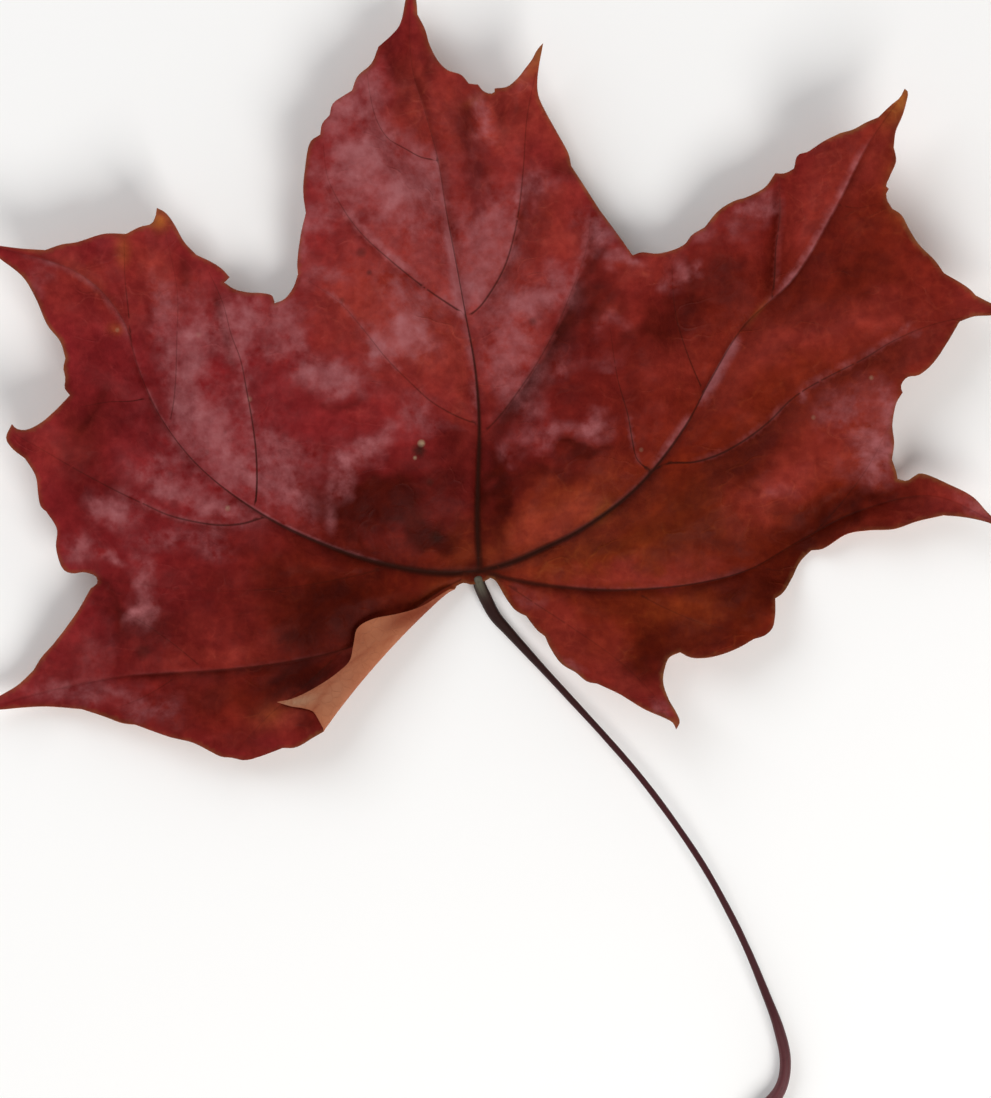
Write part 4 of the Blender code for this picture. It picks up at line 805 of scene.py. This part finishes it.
def vein_highlight_and_shade(points):
    """Painted highlight on the wall of each sunken vein that faces the key light, and painted shade on the
    other wall: each side fades out away from its vein.
    """
    pale, dark = np.zeros((2, len(points)))
    for name, first, last, side, highlight_width, highlight_strength, shade_width, shade_strength in VEIN_LIGHT_AND_SHADE:
        route = {**RIBS, **SIDE_VEINS}[name][-1]
        gap, share, found = distance_to(points, smooth_curve(route, 1.0))
        within = np.clip(np.minimum(share - first, last - share) / (last - first) * 6, 0, 1)
        lit_side = np.clip(0.5 + 2.5 * gap * found * side, 0, 1)
        pale = np.maximum(pale, within * lit_side * highlight_strength * bell(gap, highlight_width))
        dark = np.maximum(dark, within * (1 - lit_side) * shade_strength * bell(gap, shade_width))
    return pale, dark


def upper_tint(flat, to_margin, settings):
    """The upper face's colour at each flat plan point, and how much painted sheen and highlight lies on it.
    """
    cloudy = flat + 0.9 * drift(flat, 9.0, 11)
    cloudy += 0.45 * drift(flat, 3.2, 13)
    tint = mixed(plain(settings.crimson, len(flat)), settings.russet, bumps(cloudy, RUSSET_AREAS))
    tint = mixed(tint, settings.copper, bumps(cloudy, COPPER_AREAS))
    tint = mixed(tint, settings.scarlet, 0.9 * bumps(cloudy, SCARLET_AREAS))
    # Painted highlight and painted shade beside the sunken veins.
    lit_side, shaded_side = vein_highlight_and_shade(flat)
    # Darkening: the dark patches of own tone and painted shade, the painted shade streaks, and the painted
    # shade on the veins' shaded sides.
    patches = np.clip(bumps(cloudy, UMBER_AND_SHADE_AREAS), 0, 0.95)
    dark = 1 - (1 - patches) * (1 - streaks(flat, FOLD_SHADE_STREAKS)) * (1 - shaded_side)
    tint = mixed(tint, settings.umber_and_shade, 0.97 * dark)
    tint = mixed(tint, settings.amber, bumps(flat, AMBER_AREAS))
    dry_edge = bell(to_margin, 0.33) * (0.50 + 0.30 * ripples(flat, 16.0, 21))
    tint = mixed(tint, settings.dry_edge, dry_edge)
    for *place, reach, strength in MARKS:
        share = abs(strength) * bell(np.linalg.norm(flat - place, axis=1), 0.6 * reach, 4)
        tint = mixed(tint, settings.pale_mark if strength > 0 else settings.vein_line, share)
    # Painted sheen patches, together with the painted highlights beside the veins and in the highlight
    # streaks.
    painted_sheen = np.maximum(bumps(cloudy, PAINTED_SHEEN_AREAS), np.maximum(lit_side, streaks(flat, HIGHLIGHT_STREAKS)))
    return tint, painted_sheen * (1 - np.clip(dry_edge, 0, 1))


def lower_tint(flat, veins, to_margin, settings):
    """The underside's colour at each flat plan point: dull salmon, redder in clouds, with darker veins."""
    seen, rise = rolled(flat)
    on_tooth = np.clip(rise / ROLL_END_RADIUS, 0, 1)
    to_line = distance_to(seen, smooth_curve(UNDERSIDE_LINE, 1.0))[0]
    tint = plain(settings.underside, len(flat))
    for over, share in (
        (settings.underside_blush, 0.30 + 0.28 * ripples(flat, 17.0, 31)),
        (settings.pale_mark, on_tooth * bumps(seen, UNDERSIDE_PALE)),
        (settings.underside_vein, 0.7 * on_tooth * bell(to_line, 0.35)),
        (settings.copper, on_tooth * bumps(seen, UNDERSIDE_DARK)),
        (settings.underside_vein, np.clip(veins["depth"] * 2.0, 0, 0.7)),
        (settings.underside_vein, 0.35 * bell(to_margin, 0.4)),
    ):
        tint = mixed(tint, over, share)
    return tint


# --- Meshes and materials ---


def new_object(name, data):
    """An object in the scene that holds the data."""
    made = bpy.data.objects.new(name, data)
    bpy.context.scene.collection.objects.link(made)
    return made


def new_piece(name, points, triangles, materials, smooth_angle):
    """A smooth-shaded mesh object from points in the plan's millimetres."""
    mesh = bpy.data.meshes.new(name)
    mesh.vertices.add(len(points))
    mesh.vertices.foreach_set("co", ((points - [*HUB, 0]) * MM).astype(np.float32).ravel())
    mesh.loops.add(triangles.size)
    mesh.loops.foreach_set("vertex_index", triangles.ravel().astype(np.int32))
    mesh.polygons.add(len(triangles))
    mesh.polygons.foreach_set("loop_start", np.arange(0, triangles.size, 3, dtype=np.int32))
    mesh.update(calc_edges=True)
    mesh.validate()
    for material in materials:
        mesh.materials.append(material)
    mesh.shade_smooth()
    mesh.set_sharp_from_angle(angle=math.radians(smooth_angle))
    return new_object(name, mesh)


def store(mesh, name, values):
    """Keeps a number or a colour for each point of the mesh under a name that materials can read."""
    if values.ndim == 1:
        mesh.attributes.new(name, "FLOAT", "POINT").data.foreach_set("value", values.astype(np.float32))
        return
    colours = np.column_stack([values, np.ones(len(values))]).astype(np.float32)
    mesh.attributes.new(name, "FLOAT_COLOR", "POINT").data.foreach_set("color", colours.ravel())


class Nodes:
    """A material's node tree, with short ways to add and join nodes."""

    def __init__(self, name):
        self.material = bpy.data.materials.new(name)
        self.material.use_nodes = True
        self.tree = self.material.node_tree
        self.shader = self.tree.nodes["Principled BSDF"]

    def add(self, kind, inputs=(), **settings):
        node = self.tree.nodes.new(kind)
        for key, value in settings.items():
            setattr(node, key, value)
        for key, value in dict(inputs).items():
            self.put(node.inputs[key], value)
        return node

    def put(self, socket, value):
        if isinstance(value, bpy.types.NodeSocket):
            self.tree.links.new(value, socket)
        else:
            socket.default_value = value

    def attribute(self, name, output="Fac"):
        return self.add("ShaderNodeAttribute", attribute_name=name).outputs[output]

    def noise(self, scale, detail=3.0, roughness=0.55, stretch=None):
        where = self.add("ShaderNodeTexCoord").outputs["Object"]
        if stretch:
            where = self.add("ShaderNodeMapping", {"Vector": where, "Scale": stretch}).outputs["Vector"]
        made = self.add("ShaderNodeTexNoise", {"Vector": where, "Scale": scale, "Detail": detail})
        made.inputs["Roughness"].default_value = roughness
        return made.outputs["Fac"]

    def cells(self, scale, warp):
        where = self.add("ShaderNodeTexCoord").outputs["Object"]
        bend = self.add("ShaderNodeTexNoise", {"Vector": where, "Scale": scale * 0.8, "Detail": 2.0})
        centred = {0: bend.outputs["Color"], 1: (0.5, 0.5, 0.5)}
        shift = self.add("ShaderNodeVectorMath", centred, operation="SUBTRACT").outputs[0]
        size = self.add("ShaderNodeVectorMath", {0: shift, 3: 2 * warp}, operation="SCALE").outputs[0]
        bent = self.add("ShaderNodeVectorMath", {0: where, 1: size}, operation="ADD").outputs[0]
        made = self.add("ShaderNodeTexVoronoi", {"Vector": bent, "Scale": scale}, feature="DISTANCE_TO_EDGE")
        return made.outputs["Distance"]

    def ranged(self, value, low, high, to_low=0.0, to_high=1.0):
        made = self.add("ShaderNodeMapRange", {0: value, 1: low, 2: high, 3: to_low, 4: to_high})
        return made.outputs[0]

    def maths(self, operation, a, b):
        return self.add("ShaderNodeMath", {0: a, 1: b}, operation=operation).outputs[0]

    def mix(self, share, under, over, blend="MIX"):
        made = self.add("ShaderNodeMix", data_type="RGBA", blend_type=blend, clamp_factor=True)
        self.put(made.inputs["Factor"], share)
        self.put(made.inputs[6], under)
        self.put(made.inputs[7], over)
        return made.outputs[2]

    def tinged(self, base, share, factors):
        """The base colour, multiplied by three factors as far as the share says."""
        return self.mix(share, base, self.mix(1.0, base, (*factors, 1.0), "MULTIPLY"))

    def finish(self, colour, roughness, specular, normal=None):
        """Joins the surface's values to its shader, and gives the material."""
        names = ("Base Color", "Roughness", "Specular IOR Level", "Normal")
        for name, value in zip(names, (colour, roughness, specular, normal)):
            if value is not None:
                self.put(self.shader.inputs[name], value)
        return self.material

    def bump(self, heights, distance, strength=1.0, below=None):
        made = self.add("ShaderNodeBump", {"Height": heights, "Distance": distance, "Strength": strength})
        if below is not None:
            self.put(made.inputs["Normal"], below)
        return made.outputs["Normal"]


def upper_skin(settings):
    """The upper face: the painted tint, mottled, with a faint net, ragged patches of painted sheen, pale
    crease lines of painted highlight and dark veins.
    """
    n = Nodes("upper_face")
    clouds = n.noise(170.0, 4.0, 0.6)
    flecks = n.noise(420.0, 3.0, 0.55)
    net = n.cells(300.0, warp=0.0016)
    # Pale crease lines: painted highlight on the small wrinkles, which the bump below also raises.
    folded = n.noise(120.0, 2.0, 0.5, stretch=(0.7, 1.25, 1.0))
    crease = n.ranged(n.maths("ABSOLUTE", n.maths("SUBTRACT", folded, 0.5), 0.0), 0.0, 0.018, 1.0, 0.0)
    creases = n.maths("MULTIPLY", crease, n.ranged(clouds, 0.44, 0.60))
    base = n.attribute("tint", "Color")
    for share, factors in (
        (n.ranged(clouds, 0.35, 0.68, 0.0, 0.75), (0.62, 0.50, 0.52)),
        (n.ranged(flecks, 0.42, 0.70, 0.0, 0.62), (1.50, 1.75, 1.60)),
        (n.ranged(n.noise(900.0, 3.0, 0.5), 0.45, 0.70, 0.0, 0.35), (0.66, 0.50, 0.55)),
        (n.maths("MULTIPLY", n.ranged(net, 0.0, 0.09, 0.32, 0.0), n.ranged(clouds, 0.40, 0.60)),
         (1.35, 1.9, 1.6)),
        (n.maths("MULTIPLY", creases, 0.30), (1.6, 2.6, 2.4)),
    ):
        base = n.tinged(base, share, factors)
    # Ragged edges for the patches of painted sheen.
    ragged = n.maths("ADD", n.ranged(n.noise(290.0, 5.0, 0.6), 0.30, 0.70, -0.42, 0.42),
                     n.ranged(n.noise(700.0, 3.0, 0.55), 0.30, 0.70, -0.26, 0.26))
    painted_sheen = n.attribute("painted_sheen")
    patches = n.maths("ADD", painted_sheen, n.maths("MULTIPLY", ragged, n.ranged(painted_sheen, 0.05, 0.5)))
    shown = n.maths("MULTIPLY", n.ranged(patches, 0.05, 1.50, 0.0, settings.sheen_strength),
                    n.ranged(flecks, 0.35, 0.65, 0.70, 1.15))
    base = n.mix(shown, base, (*settings.painted_sheen[:3], 1.0))
    line = n.maths("MULTIPLY", n.ranged(n.attribute("vein"), 0.35, 1.60, 1.0, 0.0), n.attribute("vein_dark"))
    base = n.mix(line, base, (*settings.vein_line[:3], 1.0))
    pores = n.bump(flecks, 0.00012, 0.8, n.bump(clouds, 0.0004, 0.8))
    relief = n.bump(n.ranged(net, 0.0, 0.12), 0.00003, 0.5, n.bump(creases, 0.00008, 0.8, pores))
    return n.finish(base, n.ranged(n.noise(300.0, 3.0), 0.3, 0.7, 0.46, 0.60), settings.gloss, relief)


def under_skin():
    """The underside: its painted tint with a fine raised net and a soft, dry finish."""
    n = Nodes("under_face")
    clouds = n.noise(180.0, 4.0, 0.6)
    net = n.cells(620.0, warp=0.0008)
    base = n.tinged(n.attribute("tint", "Color"), n.ranged(clouds, 0.35, 0.70, 0.0, 0.5), (0.80, 0.68, 0.62))
    base = n.tinged(base, n.ranged(net, 0.0, 0.12, 0.20, 0.0), (0.85, 0.70, 0.62))
    pores = n.bump(n.noise(900.0, 3.0), 0.00005, 0.6)
    relief = n.bump(n.ranged(net, 0.0, 0.14, 1.0, 0.0), 0.00006, 0.8, pores)
    return n.finish(base, n.ranged(clouds, 0.3, 0.7, 0.62, 0.75), 0.25, relief)


def stem_skin():
    """The stem's bark: its painted tint, streaked along its length, with a waxy finish."""
    n = Nodes("stem_bark")
    along = n.add("ShaderNodeCombineXYZ", {0: n.attribute("around"), 1: n.attribute("along")}).outputs[0]
    streaked = n.add("ShaderNodeTexNoise", {"Vector": along, "Scale": 1.0, "Detail": 4.0}).outputs["Fac"]
    specks = n.noise(1500.0, 3.0)
    base = n.tinged(n.attribute("tint", "Color"), n.ranged(streaked, 0.35, 0.68, 0.0, 0.6), (1.5, 1.4, 1.4))
    base = n.tinged(base, n.ranged(specks, 0.55, 0.75, 0.0, 0.5), (0.55, 0.5, 0.5))
    relief = n.bump(streaked, 0.00008, 0.7, n.bump(specks, 0.00003, 0.5))
    return n.finish(base, n.ranged(streaked, 0.3, 0.7, 0.36, 0.52), 0.22, relief)


def floor_skin(tone):
    """Plain pale paper with the faintest unevenness."""
    n = Nodes("floor_paper")
    shades = [(value, value, value, 1.0) for value in (tone, tone * 0.985)]
    return n.finish(n.mix(n.noise(6.0, 2.0), *shades), 0.9, 0.1)


# --- Pieces ---


def build_blade(settings):
    """The blade: its plan in fine triangles, raised to its shape, rolled at one edge, and given two faces."""
    outline = margin()
    flat, faces = triangulated(outline, plan_points(outline))
    veins = vein_fields(flat)
    place, rise = rolled(flat)
    to_margin = gap_to_margin(flat, outline)
    from_hub = np.linalg.norm(flat - HUB, axis=1)
    relief = fine_relief(flat, veins["nearest"]) * settings.fine_relief * (1 - bell(from_hub, HUB_CALM_REACH))
    surface = np.column_stack([place, height(place, outline) + rise + relief * np.where(rise > 0, 0.0, 1.0)])
    normals = vertex_normals(surface, faces)
    half = settings.thickness / MM / 2 * (1 - EDGE_THINNING * bell(to_margin, 0.5))
    foot = 1.2 * HUB_HEIGHT * np.clip((HUB_RADIUS - from_hub) / (HUB_RADIUS - FOOT_RADIUS), 0, 1)
    depth = np.maximum(veins["depth"] * settings.rib_height, foot)
    upper = surface + normals * (half - veins["groove"] * settings.groove_depth)[:, None]
    lower = surface - normals * (half + depth)[:, None]
    lower[:, 2] = np.maximum(lower[:, 2], 0)
    upper[:, 2] = np.where(rise > 0, upper[:, 2], np.maximum(upper[:, 2], lower[:, 2] + LEAST_THICKNESS))

    # A wall closes each edge that belongs to one face only.
    count = len(flat)
    ends = np.vstack([faces[:, [0, 1]], faces[:, [1, 2]], faces[:, [2, 0]]]).astype(np.int64)
    start, end = ends[~np.isin(ends @ [count, 1], ends @ [1, count])].T
    walls = np.vstack([
        np.column_stack([end, start, start + count]), np.column_stack([end, start + count, end + count])])
    all_faces = np.vstack([faces, faces[:, ::-1] + count, walls])
    skins = [upper_skin(settings), under_skin()]
    blade = new_piece("blade_skin", np.vstack([upper, lower]), all_faces, skins, 65)
    below = np.zeros(len(all_faces), np.int32)
    below[len(faces):2 * len(faces)] = 1
    blade.data.polygons.foreach_set("material_index", below)

    # The upper face's colour and its painted sheen, which the underside doesn't have.
    top_tint, painted_sheen = upper_tint(flat, to_margin, settings)
    store(blade.data, "tint", np.vstack([top_tint, lower_tint(flat, veins, to_margin, settings)]))
    store(blade.data, "painted_sheen", np.concatenate([painted_sheen, painted_sheen * 0]))
    store(blade.data, "vein", np.tile(veins["line"], 2))
    store(blade.data, "vein_dark", np.tile(veins["dark"], 2))
    lay_out_uv(blade.data, flat, all_faces)
    return blade


def lay_out_uv(mesh, flat, faces):
    """A flat map of both faces: the upper one's plan in its lower half, the lower one's in its upper half."""
    count = len(flat)
    u, v = (flat - flat.min(0) + 2).T / UV_SPAN
    coordinates = np.vstack([np.column_stack([u, v]), np.column_stack([u, v + 0.5])])
    wall = (faces >= count).any(axis=1) & (faces < count).any(axis=1)
    corner = faces.copy()
    corner[wall] %= count
    layer = mesh.uv_layers.new(name="OFBake")
    layer.data.foreach_set("uv", coordinates[corner.ravel()].astype(np.float32).ravel())


def stem_line():
    """The stem's middle line and radius along it: its route in plan, arched up between its ends."""
    route = smooth_curve(STEM_ROUTE, 0.25)
    along = lengths_along(route)
    share = np.linspace(0, 1, STEM_RINGS)
    line = np.stack([np.interp(share, along / along[-1], route[:, k]) for k in range(2)], axis=1)
    profile = smooth_curve(STEM_DIAMETERS, 0.01)
    radius = np.interp(share, profile[:, 0], profile[:, 1]) / 2
    raised = STEM_START_LIFT * (1 - share) + STEM_CAP_LIFT * bell(share, STEM_CAP_REACH)
    z = radius + raised + STEM_ARCH * np.sin(math.pi * share) ** STEM_ARCH_EASE
    return np.column_stack([line, z]), radius, share, along[-1]


def build_stem(settings):
    """The stem: a ribbed round section along the arched line, blunt at the hub and dished at the foot.

    The section's radius is the line's, less a shallow groove along the top and some fine ridges. At the hub
    end it runs on under the blade's skin and closes in a round nose. At the foot it closes in a shallow cup,
    the scar where the leaf came away.
    """
    line, radius, share, length = stem_line()
    heading = unit(np.gradient(line, axis=0))
    nose = np.linspace(math.pi / 2, 0.12, 9)
    front = line[:1] - heading[:1] * STEM_NOSE * np.sin(nose)[:, None]
    cup, cup_depth = np.array(STEM_CUP).T
    back = line[-1:] + heading[-1:] * cup_depth[:, None] * radius[-1] * 1.6
    line = np.vstack([front, line, back])
    radius = np.concatenate([radius[0] * np.clip(np.cos(nose), 0.03, 1) ** 0.6, radius, radius[-1] * cup])
    share = np.concatenate([np.zeros(len(front)), share, np.ones(len(back))])
    heading = np.vstack([[heading[0]] * len(front), heading, [heading[-1]] * len(back)])
    side = unit(np.cross(heading, [0, 0, 1]))
    up = np.cross(side, heading)
    turn = np.arange(STEM_SIDES) * 2 * math.pi / STEM_SIDES
    from_top = np.abs((turn - math.pi / 2 + math.pi) % (2 * math.pi) - math.pi)
    ridges = sum(height * np.cos(number * turn + phase) for number, height, phase in STEM_RIDGES)
    carved = (settings.stem_groove * bell(from_top, 0.5) + ridges)[None]
    wander = 0.02 * np.sin(share[:, None] * 60 + 2 * turn[None])
    swell = 1 - carved * (0.4 + 0.6 * np.sin(math.pi * share))[:, None] + wander
    rings = line[:, None] + (radius[:, None] * swell)[..., None] * (
        side[:, None] * np.cos(turn)[None, :, None] + up[:, None] * np.sin(turn)[None, :, None])
    rings[..., 2] = np.maximum(rings[..., 2], 0.0)

    count, sides = rings.shape[:2]
    k, i = np.meshgrid(np.arange(count - 1), np.arange(sides), indexing="ij")
    j = (i + 1) % sides
    a, b, c, d = ((row * sides + turn).ravel() for row, turn in ((k, i), (k + 1, i), (k + 1, j), (k, j)))
    last = (count - 1) * sides
    ring, after = i[0], j[0]
    pole = np.full(sides, count * sides)
    triangles = np.vstack([np.column_stack(corners) for corners in (
        (a, b, c), (a, c, d), (pole, ring, after), (pole + 1, last + after, last + ring))])
    points = np.vstack([rings.reshape(-1, 3), rings[0].mean(0), rings[-1].mean(0)])
    stem = new_piece("stem_bark", points, triangles, [stem_skin()], 60)
    per_point = np.repeat(share, sides)
    tint = stem_tint(per_point, np.tile(0.5 + 0.5 * np.sin(turn), count), settings)
    store(stem.data, "tint", np.vstack([tint, tint[:1], plain(settings.stem_scar, 1)]))
    store(stem.data, "along", np.concatenate([per_point * length * 0.08, [0, length * 0.08]]))
    store(stem.data, "around", np.concatenate([np.tile(np.cos(turn), count) * 4, [0, 0]]))
    return stem


def stem_tint(share, height_share, settings):
    """The stem's colour: grey-green on top at the hub, near black past it, then maroon, paler at the foot."""
    tint = plain(settings.stem_dark, len(share))
    tint = mixed(tint, settings.stem_maroon, (share - 0.10) / 0.30)
    tint = mixed(tint, settings.stem_foot, (share - 0.80) / 0.14)
    on_top = np.clip(height_share * 4.0 - 2.9, 0, 1)
    tint = mixed(tint, settings.stem_green, 0.9 * bell(share, 0.020) * on_top)
    return mixed(tint, settings.stem_scar, np.where(share < 1, 0.0, 0.5))


# --- Settings, operators, panel ---


def colour(label, described, value):
    """A colour setting."""
    return FloatVectorProperty(
        name=label, description=described, default=value, size=3, min=0.0, max=1.0, subtype="COLOR")


def factor(label, described, value, most=1.0):
    """A setting without a unit, from 0 upwards."""
    return FloatProperty(
        name=label, description=described, default=value, min=0.0, max=most, subtype="FACTOR")


class BladeSettings(bpy.types.PropertyGroup):
    """Sizes and colours of the blade."""

    thickness: FloatProperty(
        name="Thickness", description="Thickness of the blade between its ribs", default=LAMINA * MM,
        min=0.0001, max=0.001, unit="LENGTH", precision=5)
    rib_height: factor("Rib height", "Height of the ribs under the blade, as a share of usual", 1.0, 1.2)
    groove_depth: factor("Groove depth", "Depth of the upper face's veins, as a share of usual", 1.0, 2.0)
    fine_relief: factor("Fine relief", "Puffing between the side veins and small waves", 1.0, 2.0)
    # How strongly the painted sheen covers the colour below it.
    gloss: factor("Gloss", "Strength of the upper face's waxy reflection", 0.04)
    sheen_strength: factor("Bloom strength", "How much the pale bloom hides the colour below it", 0.80)
    crimson: colour("Crimson", "Main colour of the upper face", (0.190, 0.0115, 0.0140))
    russet: colour("Russet", "Colour of its warmer parts", (0.150, 0.0125, 0.0035))
    scarlet: colour("Scarlet", "Colour of its lighter parts", (0.270, 0.028, 0.020))
    copper: colour("Copper", "Colour of the orange-brown parts near the hub", (0.190, 0.028, 0.0065))
    # Also the colour of the painted shade and painted shadow on the upper face.
    umber_and_shade: colour("Umber", "Colour of its darkest parts", (0.042, 0.0022, 0.0004))
    amber: colour("Amber", "Colour of its yellowed tips", (0.330, 0.085, 0.018))
    # The colour of the painted sheen and painted highlights.
    painted_sheen: colour("Bloom", "Colour of the pale bloom", (0.350, 0.115, 0.124))
    vein_line: colour("Vein line", "Colour of the veins and dark marks", (0.022, 0.0045, 0.0022))
    dry_edge: colour("Dry edge", "Colour of the dried margin", (0.190, 0.065, 0.024))
    pale_mark: colour("Pale marks", "Colour of the small pale marks", (0.420, 0.330, 0.210))
    underside: colour("Underside", "Main colour of the underside", (0.395, 0.138, 0.062))
    underside_blush: colour("Underside blush", "Redder parts of the underside", (0.330, 0.095, 0.045))
    underside_vein: colour("Underside veins", "Colour of the ridges below", (0.300, 0.075, 0.030))


class StemSettings(bpy.types.PropertyGroup):
    """Shape and colours of the stem."""

    stem_groove: factor("Groove", "Depth of the groove on its top, as a share of its radius", 0.16, 0.4)
    stem_dark: colour("Dark part", "Colour just below the hub", (0.020, 0.0060, 0.0048))
    stem_maroon: colour("Maroon part", "Colour of the long middle part", (0.042, 0.008, 0.010))
    stem_foot: colour("Foot", "Colour of the swollen foot", (0.095, 0.028, 0.032))
    stem_green: colour("Hub patch", "Grey-green patch at the hub", (0.095, 0.088, 0.062))
    stem_scar: colour("Scar", "Colour of the scar at the foot", (0.140, 0.080, 0.045))


class StageSettings(bpy.types.PropertyGroup):
    """The studio round the leaf."""

    floor_tone: factor("Floor tone", "Brightness of the pale floor", 0.95)
    camera_height: FloatProperty(
        name="Camera height", description="Height of the camera above the floor", default=2.2, min=0.3,
        max=4.0, unit="LENGTH")
    key_power: FloatProperty(
        name="Key light", description="Power of the main soft light", default=5.6, min=0.0, max=100.0,
        unit="POWER")
    fill_power: FloatProperty(
        name="Fill light", description="Power of the opposite soft light", default=4.0, min=0.0, max=100.0,
        unit="POWER")
    sky: factor("Surroundings", "Brightness of the room at the horizon", 1.15, 2.0)


class LEAF_OT_blade(bpy.types.Operator):
    """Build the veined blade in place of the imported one"""

    bl_idname = "leaf.blade"
    bl_label = "Blade"

    def execute(self, context):
        blade = build_blade(context.scene.leaf_blade)
        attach(blade, "root")
        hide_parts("blade")
        return {"FINISHED"}


class LEAF_OT_stem(bpy.types.Operator):
    """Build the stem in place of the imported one"""

    bl_idname = "leaf.stem"
    bl_label = "Stem"

    def execute(self, context):
        stem = build_stem(context.scene.leaf_stem)
        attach(stem, "root")
        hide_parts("stem")
        return {"FINISHED"}


VIEW_CENTRE = Vector((0.0025, 0.0036, 0.004))  # the middle of the view, at the blade's usual height
VIEW_LENGTH = 0.1757  # what the view's long side takes in there
SENSOR = 36.0
FLOOR_HALF = 2.5
FLOOR_LEVEL = -5e-5


def soft_light(name, direction, distance, size, power, tint):
    """A square soft light that faces the leaf from a direction."""
    data = bpy.data.lights.new(name, "AREA")
    data.shape = "SQUARE"
    data.size = size
    data.energy = power
    data.color = tint
    way = Vector(direction).normalized()
    lamp = new_object(name, data)
    lamp.location = way * distance
    lamp.rotation_euler = way.to_track_quat("Z", "Y").to_euler()


def build_floor(settings):
    """A plain square floor, a hair below the leaf's resting surface."""
    mesh = bpy.data.meshes.new("floor")
    corners = [(x * FLOOR_HALF, y * FLOOR_HALF, FLOOR_LEVEL) for x, y in ((-1, -1), (1, -1), (1, 1), (-1, 1))]
    mesh.from_pydata(corners, [], [(0, 1, 2, 3)])
    mesh.materials.append(floor_skin(settings.floor_tone))
    new_object("floor", mesh)


def build_room(settings):
    """Even surroundings, pale at the horizon and dim overhead, so that a flat face reflects little."""
    world = bpy.data.worlds.new("room")
    world.use_nodes = True
    bpy.context.scene.world = world
    tree = world.node_tree
    kinds = ("ShaderNodeTexCoord", "ShaderNodeSeparateXYZ", "ShaderNodeMapRange")
    where, split, fade = (tree.nodes.new(kind) for kind in kinds)
    for k, value in enumerate((0.05, 0.75, settings.sky, settings.sky * 0.16), start=1):
        fade.inputs[k].default_value = value
    background = tree.nodes["Background"]
    background.inputs["Color"].default_value = (1.0, 0.985, 0.97, 1.0)
    tree.links.new(where.outputs["Generated"], split.inputs[0])
    tree.links.new(split.outputs["Z"], fade.inputs[0])
    tree.links.new(fade.outputs[0], background.inputs["Strength"])


def build_camera(settings):
    """The camera, straight above the leaf, with the middle lobe pointing up the view."""
    data = bpy.data.cameras.new("camera")
    distance = settings.camera_height - VIEW_CENTRE.z
    data.sensor_width = SENSOR
    data.lens = SENSOR * distance / VIEW_LENGTH
    data.dof.use_dof = False
    camera = new_object("camera", data)
    camera.location = VIEW_CENTRE + Vector((0, 0, distance))
    bpy.context.scene.camera = camera


class LEAF_OT_stage(bpy.types.Operator):
    """Build the floor, the lights and the camera"""

    bl_idname = "leaf.stage"
    bl_label = "Stage"

    def execute(self, context):
        settings = context.scene.leaf_stage
        build_floor(settings)
        build_room(settings)
        soft_light("key", (0.50, -0.86, 0.95), 0.9, 0.5, settings.key_power, (1.0, 0.98, 0.95))
        soft_light("fill", (-0.7, 0.7, 0.9), 1.0, 0.7, settings.fill_power, (0.96, 0.98, 1.0))
        build_camera(settings)
        context.scene.view_settings.view_transform = "Standard"
        return {"FINISHED"}


class LEAF_PT_panel(bpy.types.Panel):
    """Lists the leaf's pieces and settings"""

    bl_label = "Maple leaf"
    bl_idname = "LEAF_PT_panel"
    bl_space_type = "VIEW_3D"
    bl_region_type = "UI"
    bl_category = "Leaf"

    def draw(self, context):
        scene = context.scene
        parts = (scene.leaf_blade, scene.leaf_stem, scene.leaf_stage)
        for operator, settings in zip((LEAF_OT_blade, LEAF_OT_stem, LEAF_OT_stage), parts):
            box = self.layout.box()
            box.operator(operator.bl_idname)
            for name in settings.__annotations__:
                box.prop(settings, name)


CLASSES = (
    BladeSettings, StemSettings, StageSettings, LEAF_OT_blade, LEAF_OT_stem, LEAF_OT_stage, LEAF_PT_panel)


def register():
    """Registers the settings, operators and panel."""
    for made in CLASSES:
        bpy.utils.register_class(made)
    bpy.types.Scene.leaf_blade = PointerProperty(type=BladeSettings)
    bpy.types.Scene.leaf_stem = PointerProperty(type=StemSettings)
    bpy.types.Scene.leaf_stage = PointerProperty(type=StageSettings)


def unregister():
    """Removes what register added."""
    del bpy.types.Scene.leaf_blade
    del bpy.types.Scene.leaf_stem
    del bpy.types.Scene.leaf_stage
    for made in reversed(CLASSES):
        bpy.utils.unregister_class(made)


def main():
    """Builds the leaf and its stage."""
    register()
    bpy.ops.leaf.blade()
    bpy.ops.leaf.stem()
    bpy.ops.leaf.stage()


if __name__ == "__main__":
    main()
